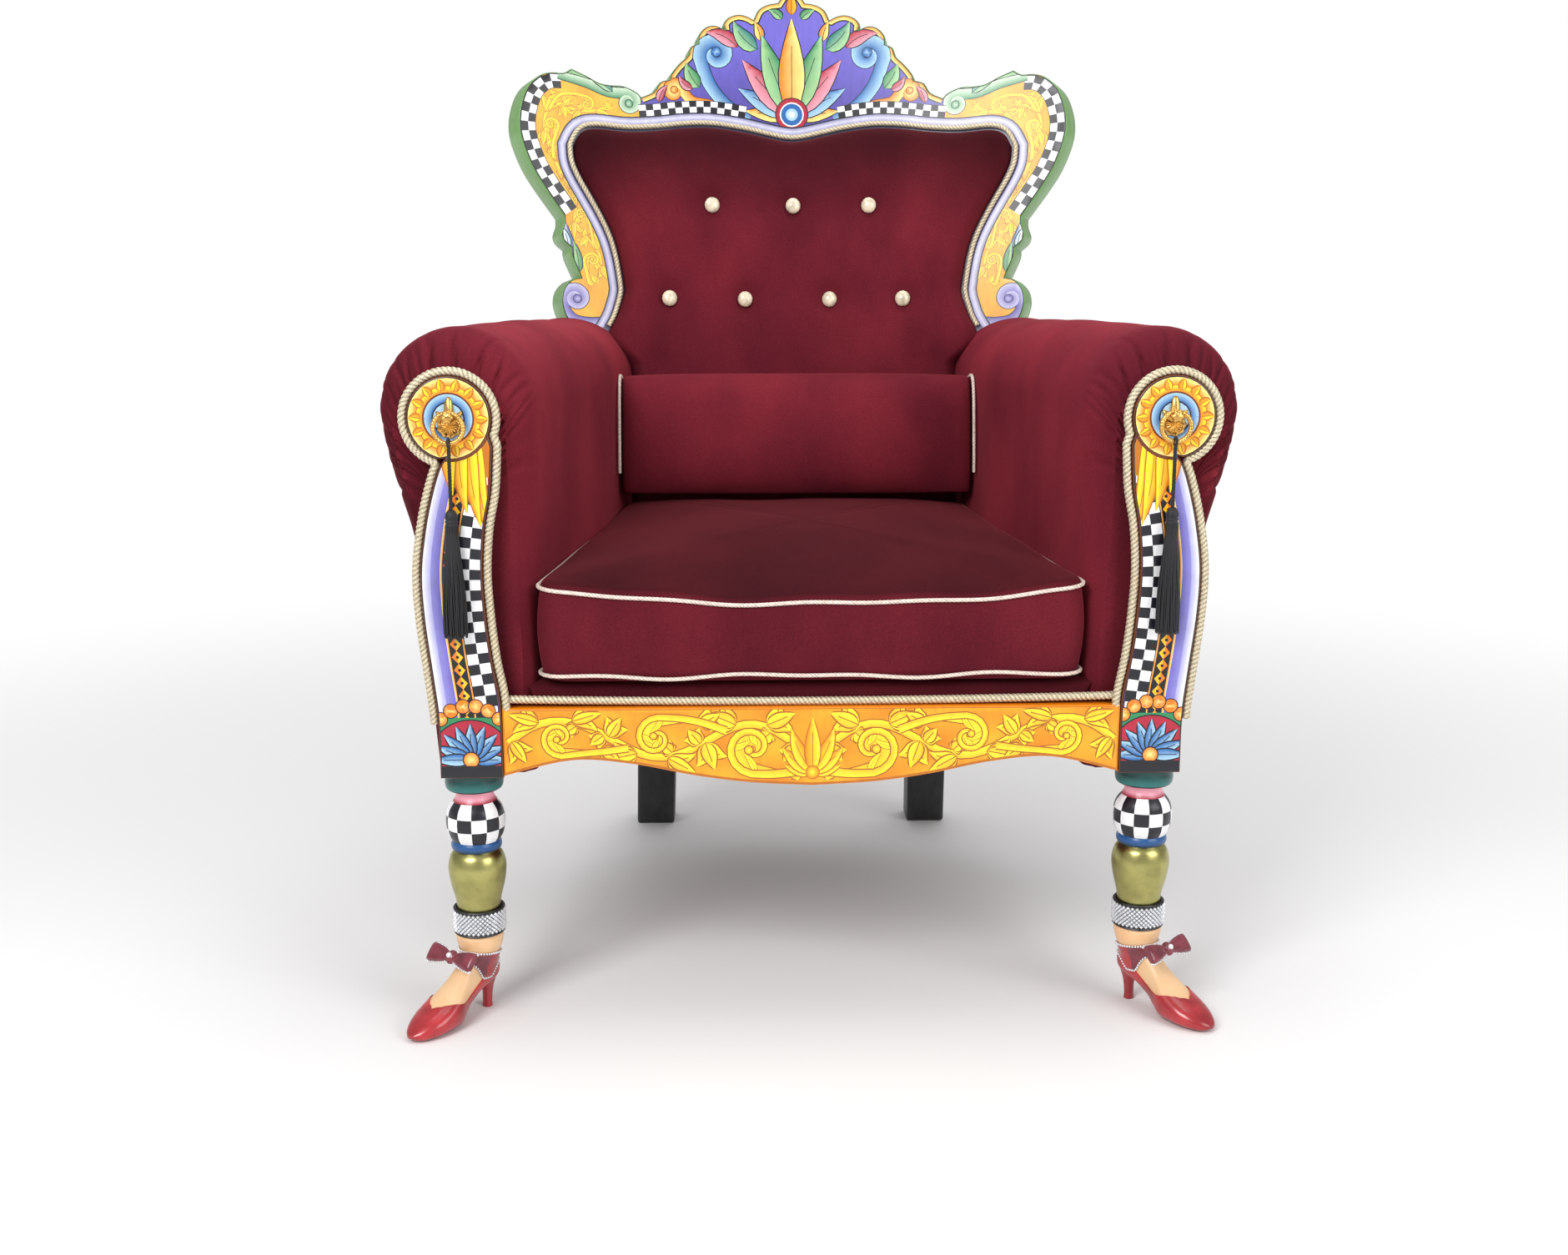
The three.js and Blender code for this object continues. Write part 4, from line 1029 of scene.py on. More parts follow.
    def shade_at(self, shape, places):
        """A shape's shade at the corners of its triangles."""
        outline, shade = self.shapes[shape]
        if callable(shade):
            return shade(places.reshape(-1, 2)).reshape(places.shape[:-1] + (3,))
        if shade.ndim == 1:
            return np.broadcast_to(shade, places.shape[:-1] + (3,))
        a, b, c = outline
        corner = np.array([b - a, c - a]).T
        if abs(np.linalg.det(corner)) < 1e-6:
            return np.broadcast_to(shade[0], places.shape[:-1] + (3,))
        share = np.clip((places - a) @ np.linalg.inv(corner).T, 0, 1)
        share /= np.maximum(share.sum(-1, keepdims=True), 1)
        return shade[0] + share[..., :1] * (shade[1] - shade[0]) + share[..., 1:] * (shade[2] - shade[0])


def within(outline, spots):
    """Which spots lie inside a flat outline."""
    inside = np.zeros(len(spots), bool)
    x, z = spots.T
    for (ax, az), (bx, bz) in zip(outline, np.roll(outline, -1, 0)):
        if az != bz:
            inside ^= ((az > z) != (bz > z)) & (x < ax + (z - az) * (bx - ax) / (bz - az))
    return inside


def rim_loop(triangles):
    """The points round a face's edge, in order."""
    inner = {(b, a) for t in triangles for a, b in zip(t, t[1:] + t[:1])}
    follow = {a: b for t in triangles for a, b in zip(t, t[1:] + t[:1]) if (a, b) not in inner}
    start = next(iter(follow))
    loop = [start]
    while follow[loop[-1]] != start:
        loop.append(follow[loop[-1]])
    return loop


def painted_board(painting, guides, thickness, place, rim, line, back):
    """A board with a painted face, rounded edges, painted sides and a plain back."""
    stock = Stock()
    points, triangles, shades = painting.face(guides)
    stock.add(place(upright(points, 0.0)), triangles, 0, shades)
    loop = points[rim_loop(triangles)]
    rounding = sizes().board_round / MM
    turn = np.linspace(0, math.pi / 2, 4)
    steps = [(rounding * math.sin(a), rounding * (1 - math.cos(a))) for a in turn]
    steps += [(out, thickness - deep) for out, deep in reversed(steps)]
    rings = [place(upright(side_step(loop, -out, True), deep)) for out, deep in steps]
    shade = np.repeat(np.array([line] + [rim] * (len(steps) - 2)), len(loop), 0)
    stock.rings(rings, 0, shade, ends=False)
    points, triangles, shades = Painting(loop, back).face(guides)
    stock.add(place(upright(points, thickness)), [t[::-1] for t in triangles], 0, shades)
    return stock


def inset(outline):
    """A board's outline, anticlockwise and drawn in by the rounding of its edge."""
    outline = np.asarray(outline, float)
    x, z = outline.T
    if (x * np.roll(z, -1) - z * np.roll(x, -1)).sum() < 0:
        outline = outline[::-1]
    return side_step(outline, sizes().board_round / MM, True)


def pad_edge():
    """Right half of the back pad's edge, from the middle of its top down its flank to the arm."""
    flank = spline(PAD_FLANK, 4)
    return np.vstack([spline(PAD_TOP, 4)[:-1], flank[flank[:, 1] > 840], spline(BRAID_FOOT, 4)])


def paint_crest(art, c):
    """A palmette between curled scrolls on a violet ground."""
    crest = runs_line(BOARD_RUNS[:6], 5)
    sill = ((221, 1110), (180, 1108), (120, 1104), (60, 1094), (0, 1084))
    art.lay(np.vstack([crest, sill]), lambda p: mixed(c["violet"] * 0.75, c["violet"] * 1.15 + 0.03,
                                                     smooth_step(1090, 1240, p[:, 1])))
    rim = even(crest, 5.0)
    art.stroke(side_step(rim, -4.2), 3.2, c["orange"], c["cream"])
    art.stroke(side_step(rim, -8.4), 1.0, c["black"])
    art.scroll(curl(((92, 1106), (118, 1118), (146, 1122), (158, 1133)), (173, 1135), 1.3, -1), 8.0,
               c["umber"], c["orange"], c["cream"])
    art.leaf((196, 1118), (183, 1143), -0.2, 5.0, c["black"], c["crimson"], c["pink"])
    art.scroll(curl(((62, 1100), (96, 1118), (122, 1148), (136, 1186)), (112, 1191), 1.3, 1), 11.0,
               c["black"], c["blue"], c["sky"])
    art.leaves(c["black"], c,
               ((136, 1142), (156, 1177), -0.15, 10.0, "green", "mint"),
               ((146, 1140), (166, 1158), -0.3, 5.5, "crimson", "pink"),
               ((80, 1202), (127, 1222), 0.25, 10.0, "crimson", "pink"),
               ((50, 1200), (86, 1240), -0.2, 12.0, "teal", "mint"),
               ((46, 1212), (55, 1240), 0.15, 6.5, "orange", "cream"))
    base = np.array([0.0, 1106.0])
    art.fan(base, -0.05, c["black"], c, (86, 70, 11, "orange", "cream"), (65, 88, 14, "blue", "sky"),
            (43, 108, 17, "crimson", "pink"), (21, 124, 18, "green", "mint"), (0, 140, 19, "orange", "cream"))
    art.leaf((14, 1244), (34, 1257), 0.2, 6.0, c["black"], c["green"], c["mint"])
    art.leaf((0, 1250), (0, 1282), 0.0, 7.0, c["umber"], c["orange"], c["yellow"])
    for radius, shade in ((25, "black"), (23.5, "crimson"), (18, "white"), (16, "blue"), (9, "sky"),
                          (4.5, "white")):
        art.disc(base, radius, c[shade])


def paint_wings(art, c):
    """Checkers along the wings' edges, a vine on gold, and curled leaves."""
    wing = even(runs_line(BOARD_RUNS[6:8], 5), 4.0)
    size = sizes().checker / MM
    start = int(np.argmin(np.hypot(*(wing - (334, 1149)).T)))
    inner = even(side_step(pad_edge(), LILAC_OUT + 1.0), 4.0)
    outer = side_step(wing, -4.0 - size * 2)
    top = int(np.argmin(np.abs(inner[:, 0] - 262) + (inner[:, 1] < 1060) * 900))
    foot = int(np.argmin(np.hypot(*(inner - (276, 850)).T)))
    field = inner[top:foot]
    gap = np.array([np.min(np.hypot(*(outer - p).T)) for p in field])
    gap = np.minimum(gap, np.where(field[:, 1] < 945, 30.0, 60.0))
    middle = side_step(field, gap / 2)
    dark = mixed(c["rust"], c["umber"], 0.2)
    art.vine(middle[::-1], (gap / 2 * 1.04)[::-1], 64.0, dark, c["yellow"], c["sun"], 1.35)
    art.checkers(side_step(wing[start:], -2.8), size, 2, c["black"], c["white"], 1.5)
    ridge = even(np.vstack([spline(BOARD_RUNS[6], 5), (331, 1149)]), 4.0)
    art.stroke(side_step(ridge, -7.0), 7.6, c["green"], c["black"])
    art.stroke(side_step(ridge, -6.5), 6.5, c["mint"], c["green"])
    art.scroll(curl(((338, 1145), (300, 1138), (268, 1128), (240, 1128)), (240, 1115), 1.4, 1), 8.5,
               c["black"], c["green"], mixed(c["mint"], c["white"], 0.4))
    art.leaves(c["black"], c,
               ((262, 1128), (290, 1141), 0.2, 5.0, "teal", "mint"),
               ((316, 868), (331, 940), -0.06, 9.0, "blue", "white"),
               ((312, 866), (320, 912), 0.1, 5.0, "green", "mint"),
               ((326, 900), (334, 930), 0.1, 4.0, "sky", "white"))
    art.scroll(curl(((282, 798), (300, 796), (320, 799), (333, 814), (331, 836)), (317, 830), 1.5, 1), 9.0,
               c["black"], c["violet"] * 0.8, mixed(c["lilac"], c["white"], 0.25))


def board_painting():
    """The painting on the back board's face."""
    c = colours()

    def gold(p):
        wave = np.sin(p[:, 0] * 0.11) * np.sin(p[:, 1] * 0.09 + 1.0)
        return mixed(c["amber"], c["yellow"], 0.6 + 0.25 * wave)

    half = runs_line(BOARD_RUNS, 3)
    art = Painting(inset(mirrored(half)), gold, both=True)
    paint_wings(art, c)
    paint_crest(art, c)
    size = sizes().checker / MM * CREST_CHECKER
    edge = even(np.vstack([pad_edge(), (282, 764)]), 5.0)
    sill = side_step(edge, LILAC_OUT + 1.0 + size * 2)
    keep = (sill[:, 0] > 66) & (sill[:, 0] < 226) & (sill[:, 1] > 1060)
    art.checkers(sill[keep], size, 2, c["black"], c["white"], 1.3)
    art.stroke(side_step(edge, LILAC_OUT), 0.9, c["black"])
    pale = mixed(c["lilac"], c["white"], 0.45)
    art.stroke(side_step(edge, LILAC_OUT - 3.4), 2.5, c["lilac"] * 0.5, pale)
    art.stroke(side_step(edge, LILAC_OUT - 8.4), 2.5, pale, c["lilac"] * 0.75)
    art.stroke(side_step(edge, 1.0), 9.6, c["lilac"] * 0.2)
    return art


def panel_outline():
    """Outline of the right arm's front, from the foot of its inner edge round its scroll."""
    angle = np.linspace(1.13 * math.pi, -0.42 * math.pi, 40)
    scroll = np.stack([ARM_X + SCROLL_R * np.cos(angle), SCROLL_Z + SCROLL_R * np.sin(angle)], 1)
    return np.vstack([spline(PANEL_INNER, 6), scroll, spline(PANEL_OUTER, 6)])


def panel_painting():
    """The painting on the right arm's front: rings, checkers, a chain and a shell."""
    c = colours()
    art = Painting(inset(panel_outline()), c["violet"])
    inner, outer = spline(PANEL_INNER[:-1], 8), spline(PANEL_OUTER, 8)[::-1]

    def rail(share, low=310.0, high=668.0):
        z = np.arange(low, high, 5.0)
        a, b = np.interp(z, inner[:, 1], inner[:, 0]), np.interp(z, outer[:, 1], outer[:, 0])
        return np.stack([a + (b - a) * share, z], 1)

    art.stroke(rail(0.8), 11.5, c["violet"], mixed(c["violet"], c["lilac"], 0.75))
    art.stroke(rail(0.91), 5.4, mixed(c["violet"], c["lilac"], 0.85), c["white"])
    art.stroke(rail(0.985), 1.4, c["black"])
    art.stroke(rail(0.54), 9.2, c["black"])
    chain = rail(0.54)
    step = 3
    for i in range(1, len(chain) - step, step):
        a, b = chain[i], chain[i + step]
        m = (a + b) / 2
        art.lay((a, m + (6.4, 0), b), c["orange"])
        art.lay((a, b, m - (6.4, 0)), c["yellow"])
        art.disc(m, 1.9, c["black"], None, 10)
    art.stroke(rail(0.665), 1.2, c["orange"], c["cream"])
    art.stroke(rail(0.405), 1.2, c["cream"], c["orange"])
    art.checkers(rail(0.385)[::-1], PANEL_CHECKER, 2, c["black"], c["white"])
    art.stroke(rail(0.015), 1.3, c["crimson"])
    # Shell at the foot under an arch of small scales, on green
    foot = np.array([391.0, 322.0])
    art.lay(((350, 296), (445, 296), (445, 372), (350, 372)),
            lambda p: mixed(c["teal"], c["green"], smooth_step(300, 372, p[:, 1])))
    for angle in np.linspace(0, math.pi, 12):
        scale = foot + 51 * np.array([math.cos(angle), 1.25 * math.sin(angle)])
        art.boss(scale, 9.0, 7.8, c["black"], c["cream"], c["orange"])
    art.boss(foot, 48, 46.5, c["black"], c["crimson"], None, 40)
    for angle in np.linspace(math.pi, 0, 9):
        tip = foot + 43 * np.array([math.cos(angle), math.sin(angle)])
        art.leaf(foot, tip, 0.0, 6.6, c["black"], c["blue"], c["sky"])
    art.boss(foot, 10, 8.6, c["black"], c["cream"], c["orange"])
    art.lay(((350, 296), (445, 296), (445, 315), (350, 315)), c["black"])
    # Flames that fall from the scroll, then rings round the pull
    art.lay(((348, 720), (350, 640), (380, 655), (412, 664), (412, 720)), c["rust"])
    for x, z, half in ((359, 572, 7.5), (370, 590, 8.5), (385, 606, 8.5), (400, 626, 8.0)):
        art.leaf((x + (ARM_X - x) * 0.3, 706), (x, z), 0.08, half, c["rust"], c["amber"], c["sun"])
    eye = np.array([ARM_X, SCROLL_Z])
    for near, far, inside, outside in (
            (44, 48, "umber", "umber"), (36, 44, "amber", "cream"), (35, 36, "rust", "rust"),
            (28.5, 35, "orange", "sun"), (26.5, 28.5, "umber", "umber"), (18, 26.5, "blue", "sky"),
            (16.5, 18, "black", "black")):
        art.ring(eye, near, far, c[inside], c[outside])
    art.disc(eye, 16.5, c["white"], c["sky"])
    for k in range(14):
        angle = 2 * math.pi * k / 14
        out = np.array([math.cos(angle), math.sin(angle)])
        art.leaf(eye + out * 30, eye + out * 43.5, 0.18, 3.8, c["rust"], c["orange"], c["sun"])
    return art


def apron_outline():
    """The apron's outline, with its waved lower edge."""
    foot = mirrored(spline(APRON_FOOT, 6)[::-1])
    half = APRON_FOOT[0][0]
    return np.vstack([foot, [(half, APRON_TOP_Z), (-half, APRON_TOP_Z)]])


def apron_painting():
    """A scrolling vine in yellow on the apron's orange ground."""
    c = colours()

    def gold(p):
        wave = np.sin(p[:, 0] * 0.05 + 0.7) * np.sin(p[:, 1] * 0.07)
        return mixed(c["amber"], c["yellow"], 0.25 + 0.3 * wave)

    art = Painting(inset(apron_outline()), gold, both=True)
    foot = spline(APRON_FOOT, 6)[::-1]
    x = np.arange(16.0, 350.0, 4.0)
    low = np.interp(x, foot[:, 0], foot[:, 1])
    line = np.stack([x, (low + APRON_TOP_Z) / 2 - 1.0], 1)
    dark = mixed(c["rust"], c["umber"], 0.3)
    art.vine(line, (APRON_TOP_Z - low) / 2 * 0.9, 84.0, dark, c["yellow"], c["sun"])
    rim = even(foot, 6.0)
    art.stroke(side_step(rim, 3.0), 0.8, c["rust"])
    base = np.array([0.0, 304.0])
    art.fan(base, -0.12, c["rust"], c, (75, 34, 6.0, "amber", "sun"), (50, 46, 7.5, "amber", "sun"),
            (25, 58, 8.0, "amber", "sun"), (0, 66, 8.5, "amber", "sun"))
    art.boss(base, 8.5, 7.2, c["rust"], c["sun"], c["amber"])
    return art


def level(y):
    """Places a board drawn flat as (x, depth, z) upright with its face at Y."""
    return lambda points: np.asarray(points, float) + np.array([0.0, y, 0.0])


# Back upholstery

def pad_depth(x, z):
    """How far the back pad's CAD form stands in front of the board."""
    crown = (1 - (x / 318) ** 2) * (1 - np.abs((z - 745) / 340) ** 3)
    return 14 + 32 * np.sqrt(np.maximum(0, crown))


def make_back_pad():
    """The buttoned inside back, full between its buttons and rounded at its edge."""
    top, flank = spline(PAD_TOP, 6), spline(PAD_FLANK + PAD_TAIL, 6)
    share = (flank[:, 1] - PAD_FOOT_Z) / (np.interp(flank[:, 0], top[:, 0], top[:, 1]) - PAD_FOOT_Z)
    order = np.argsort(share)
    u = np.sin(np.linspace(-1, 1, 109) * math.pi / 2)
    v = 1 - (1 - np.linspace(0, 1, 113)) ** 1.5
    half = np.interp(v, share[order], flank[order, 0], left=PAD_HALF)
    x = half[:, None] * u[None, :]
    z = PAD_FOOT_Z + (np.interp(np.abs(x), top[:, 0], top[:, 1]) - PAD_FOOT_Z) * v[:, None]
    from_edge = np.minimum(half[:, None] * (1 - np.abs(u))[None, :], (1 - v)[:, None] * 640)
    roll = np.sqrt(1 - (1 - np.clip(from_edge / 17, 0, 1)) ** 2)
    depth = 0.5 + (pad_depth(x, z) + 7 * smooth_step(10, 90, from_edge)) * roll
    pull = sizes().tuft / MM
    for bx, bz in BUTTON_PLACES:
        away = np.hypot(x - bx, (z - bz) * 0.9)
        depth -= pull * np.exp(-(away / 17) ** 2) + pull * 0.34 * np.exp(-(away / 52) ** 2)
        fold = np.exp(-((x - bx - 2 * np.sin(z / 23)) / 7) ** 2) * smooth_step(bz, bz - 12, z)
        depth -= 1.6 * fold * np.exp(-((bz - z) / 70) ** 2) * (from_edge > 1)
    depth += roll * smooth_step(6, 60, from_edge) * ripple(
        (0.7, x / 31 + np.sin(z / 57)), (0.6, z / 43 + 1.3 * np.sin(x / 71)), (0.35, (x + z) / 17))
    rows, columns = x.shape
    faces = grid_faces(rows, columns)
    stock = Stock()
    stock.add(on_back(np.stack([x.ravel(), -depth.ravel(), z.ravel()], 1)), faces)
    stock.add(on_back(np.stack([x.ravel(), np.full(x.size, -0.5), z.ravel()], 1)), [f[::-1] for f in faces])
    piece = stock.piece("inside_back", "velvet", ["back_pad"], 60)

    # Painted light and shade on the inside back: darker towards the top and the sides, painted shade in a
    # streak under each button and a painted highlight beside it
    def tone(x, y, z, *facing):
        made = 0.36 + 0.6 * smooth_step(1080, 920, z) - 0.12 * smooth_step(170, 300, np.abs(x))
        for bx, bz in BUTTON_PLACES:
            made -= 0.14 * np.exp(-((x - bx) / 24) ** 2 - ((z - bz + 42) / 34) ** 2)
            made += 0.1 * np.exp(-((x - bx - 58) / 26) ** 2 - ((z - bz + 20) / 60) ** 2)
        return made

    paint_velvet_shading(piece, tone)


def make_buttons():
    """Covered buttons sunk in the inside back, each with a gathered edge."""
    for number, (bx, bz) in enumerate(BUTTON_PLACES, 1):
        profile = np.vstack([[(9.6, -3.0), (11.2, -0.6)], dome_profile(11.5, 7.5, 9)])
        rings = lathe(profile, 40)
        pleat = 1 + 0.022 * np.sin(turns(40) * 14)[None, :] * np.linspace(1, 0, len(profile))[:, None]
        flat = rings * np.stack([pleat, pleat, np.ones_like(pleat)], 2)
        base = pad_depth(bx, bz) - 1.0
        spot = np.stack([bx + flat[:, :, 0], -base - flat[:, :, 2], bz + flat[:, :, 1]], 2)
        placed = on_back(spot.reshape(-1, 3)).reshape(spot.shape)
        Stock().rings(placed).piece(f"button_{number}", "button", [f"back_button_{number}"], 50)


def braid(path, diameter, name, node):
    """A twisted braid or cord along a path, as a piece."""
    rope(path, diameter, sizes().cord_pitch / MM).piece(name, "braid", [node], 80)


def make_back_braid():
    """The twisted braid that covers the pad's edge."""
    half = even(side_step(pad_edge(), BRAID_OUT), 4.0)
    half[0, 0] = 0.0
    path = on_back(upright(mirrored(half), -BRAID_LIFT))
    braid(path, BRAID_D, "inside_back_braid", "back_braid")


def make_outside_back():
    """The plain velvet outside back, tacked on under a welt."""
    outline = mirrored(spline(OUTSIDE_HALF, 5))
    ground = Painting(inset(outline), WHITE)

    def place(points):
        near = np.clip(points[:, 1], 0, OUTSIDE_T)
        return on_back(np.stack([points[:, 0], BACK_T + 0.5 + near, points[:, 2]], 1))

    stock = painted_board(ground, np.arange(-300, 301, 15.0), OUTSIDE_T, place, WHITE, WHITE, WHITE)
    stock.piece("outside_back_panel", "velvet", ["outside_back"])
    path = on_back(upright(even(side_step(outline, 2.5), 6.0), BACK_T + 4.4))
    Stock().rings(tube(path, 3.6, 10)).piece("outside_back_welt", "velvet")


# Arms

def arm_middle(y):
    """X of the right arm's middle at a distance from the front."""
    return ARM_X - ARM_TOE_IN * (y - PANEL_T)


def arm_inner(y):
    """How far the right arm reaches from its middle towards the seat."""
    return 80 + 17 * np.clip((y - PANEL_T) / 466, 0, 1)


def pleats(s, y):
    """Grooves where the velvet is drawn on to an arm's front, for places round its section and along Y."""
    push = np.zeros((len(y), len(s)))
    behind = (y - PANEL_T)[:, None]
    place, number = PLEAT_RUN[0], 0
    while place < PLEAT_RUN[1]:
        wide = 3.4 + 1.5 * math.sin(number * 2.3)
        deep = 0.75 + 0.45 * math.sin(number * 1.7 + 0.6)
        reach = 30 + 17 * math.sin(number * 2.9 + 1.0)
        lean = 0.25 * math.sin(number * 3.7)
        push -= deep * np.exp(-((s[None, :] - place - lean * behind) / wide) ** 2 - (behind / reach) ** 2)
        place += 10.5 + 4.5 * math.sin(number * 1.9)
        number += 1
    return push


def make_arms():
    """Rolled arms, with the velvet pleated on to the painted fronts."""
    turn = np.linspace(0, math.pi, 118)
    roll = np.stack([ARM_ROLL_R * np.cos(turn), ARM_ROLL_Z + ARM_ROLL_R * np.sin(turn)], 1)
    skin = np.vstack([spline(np.vstack([ARM_OUTER, roll[:1]]), 12)[:-1], roll,
                      spline(np.vstack([roll[-1:], ARM_INNER]), 16)[1:]])
    section = np.vstack([skin, np.linspace(skin[-1], skin[0], 10)[1:-1]])
    s = along(section)
    o, z = section.T
    front = ARM_FRONT_Y + (ARM_BODY_Y - ARM_FRONT_Y) * np.linspace(0, 1, 30) ** 1.6
    stations = np.concatenate([[ARM_FRONT_Y] * 2, front, np.linspace(ARM_BODY_Y, ARM_REAR_Y, 36)[1:]])
    fullness = 1 - ARM_DRAW * (1 - np.clip((stations - ARM_FRONT_Y) / ARM_SWELL, 0, 1)) ** 3.4
    fullness[:2] = (0.5, 0.63)
    rings = []
    for y, full in zip(stations, fullness):
        low = full + (1 - 0.12 * smooth_step(44, 25, y) - full) * smooth_step(600, 430, z) * (full > 0.7)
        out = o * np.where(o < 0, low * arm_inner(y) / ARM_ROLL_R, full)
        up = np.where(z > ARM_DRAW_Z, ARM_DRAW_Z + (z - ARM_DRAW_Z) * full, z)
        rings.append(np.stack([arm_middle(y) + out, np.full(len(o), y), up], 1))
    rings = np.array(rings)
    normal = np.cross(np.gradient(rings, axis=0), np.gradient(rings, axis=1))
    normal /= np.maximum(np.linalg.norm(normal, axis=2), 1e-6)[..., None]
    y = stations[:, None]
    slack = ripple((0.9, s / 61 + y / 88), (0.7, s / 37 - y / 120 + 1.0), (0.4, y / 29 + s / 90))
    push = sizes().gather / MM * pleats(s, stations) * smooth_step(560, 640, z)
    push = push + slack * smooth_step(40, 140, y) * (z > 301)
    rings += normal * push[..., None]
    rear = back_face_y(np.abs(rings[..., 0]), rings[..., 2], -0.5)
    behind = rings[..., 1] - ARM_FRONT_Y
    rings[..., 1] = ARM_FRONT_Y + behind * (rear - ARM_FRONT_Y) / (ARM_REAR_Y - ARM_FRONT_Y)
    for word, side in SIDES:
        stock = Stock().rings(rings * np.array([side, 1.0, 1.0]))
        piece = stock.piece(f"{word}_arm_cover", "velvet", [f"{word}_arm"], 70)
        # Painted light and shade by facing: lighter where the velvet faces the seat or up, darker where it
        # faces out or to the front
        paint_velvet_shading(piece, lambda x, y, z, nx, ny, nz: 0.95 + 0.3 * np.maximum(0, -side * nx)
              + 0.35 * np.maximum(0, nz) - 0.42 * np.maximum(0, side * nx) - 0.3 * np.maximum(0, -ny))


def make_arm_fronts():
    """Painted fronts of the arms, each with its cord."""
    c = colours()
    board = painted_board(panel_painting(), [], PANEL_T, level(0.0), c["umber"], c["black"], c["umber"])
    points = np.vstack(board.points)
    edge = even(side_step(panel_outline(), CORD_OUT), 2.0)
    ends = np.where(edge[:, 0] < ARM_X, 376, 364)
    edge = edge[(edge[:, 1] > ends) & (np.hypot(*(edge - (410, 666)).T) > 9)]
    path = upright(edge, CORD_Y)
    for word, side in SIDES:
        flip = np.array([side, 1.0, 1.0])
        board.points = [points * flip]
        board.piece(f"{word}_arm_panel", "painted_wood", [f"{word}_arm_front"])
        braid(path * flip, CORD_D, f"{word}_arm_panel_cord", f"{word}_arm_cord")


# Apron, deck and cushions

def make_apron():
    """The waved apron with its vine, and the cord along its top."""
    c = colours()
    board = painted_board(apron_painting(), [], APRON_Y[1] - APRON_Y[0], level(APRON_Y[0]),
                          c["amber"], c["rust"], c["umber"])
    board.piece("apron", "painted_wood", ["front_apron"])
    x = np.linspace(-APRON_CORD_HALF, APRON_CORD_HALF, 90)
    path = np.stack([x, np.full(len(x), 12.0), 386.25 + 4 * (x / APRON_CORD_HALF) ** 2], 1)
    braid(path, CORD_D, "apron_top_cord", "apron_cord")


def make_deck():
    """The upholstered deck under the seat cushion, rounded over at the front."""
    y = np.array(DECK_Y)
    half = arm_middle(y) - arm_inner(y) - 0.5
    right = np.stack([half, y], 1)
    plan = even(np.vstack([right * (-1, 1), right[::-1], right[:1] * (-1, 1)]), 12.0)[:-1]
    rings = []
    for z, draw in DECK_LEVELS:
        ring = side_step(plan[::-1], -draw, True)
        ring = upright(ring, 0.0)[:, [0, 2, 1]] + (0.0, 0.0, z)
        ring[:, 1] = np.maximum(ring[:, 1], DECK_Y[0] + draw)
        ring[:, 1] = np.minimum(ring[:, 1], back_face_y(np.abs(ring[:, 0]), ring[:, 2], -1.5))
        rings.append(ring)
    piece = Stock().rings(rings).piece("deck_cover", "velvet", ["seat_deck"], 50)
    # Painted shade: the deck under the cushion is darkened to half
    paint_velvet_shading(piece, lambda x, *_: np.full(len(x), 0.5))


def seat_plan(grow, height, out=0.0):
    """A ring of the seat cushion's rounded plan, with its height given by a function of its points."""
    front, back = SEAT_Y
    ring = []
    for x, y, start in ((SEAT_HALF[0], front, -90), (SEAT_HALF[1], back, 0), (-SEAT_HALF[1], back, 90),
                        (-SEAT_HALF[0], front, 180)):
        turn = np.radians(start + np.linspace(0, 90, 9))
        cx = x - math.copysign(SEAT_CORNER, x)
        cy = y + (SEAT_CORNER if y == front else -SEAT_CORNER)
        ring.append(np.stack([cx + SEAT_CORNER * np.cos(turn), cy + SEAT_CORNER * np.sin(turn)], 1))
    ring = np.vstack(ring)
    ring = even(np.vstack([ring, ring[:1]]), 9.0)[:-1]
    if out:
        ring = side_step(ring, -out, True)
    middle = np.array([0.0, SEAT_MIDDLE])
    ring = middle + (ring - middle) * grow
    return np.hstack([ring, height(ring[:, 0], ring[:, 1])[:, None]])


def seam_sway(x, y):
    """How far the seat cushion's sewn edges wander up and down along its front."""
    return ripple((1.5, x / 44 + 0.6), (1.1, x / 23 + 2.0)) * smooth_step(150, 40, y)


def seat_back(y):
    """How far back a place on the seat cushion lies, as a share of its depth."""
    return (y - SEAT_Y[0]) / (SEAT_Y[1] - SEAT_Y[0])


def seat_top(step):
    """Height of the seat cushion's top edge at a place, with a step added."""
    def height(x, y):
        back = seat_back(y)
        lift = SEAT_CORNER_LIFT * (x / SEAT_HALF[0]) ** 2 * np.maximum(0, 1 - back)
        return SEAT_FOOT_Z + SEAT_EDGE + SEAT_RISE * back + lift + step + seam_sway(x, y)
    return height


def seat_crown(x, y):
    """Height of the seat cushion's top, full in the middle."""
    back = seat_back(y)
    across = np.abs(x) / (SEAT_HALF[0] + (SEAT_HALF[1] - SEAT_HALF[0]) * back)
    full = (1 - np.minimum(across, 1) ** 4) * (1 - np.abs(2 * back - 1) ** 4)
    return seat_top(0)(x, y) + SEAT_CROWN * full


def seat_foot(step):
    """Height of the seat cushion's flat underside, with a step added."""
    return lambda x, y: np.full(len(x), SEAT_FOOT_Z + step)


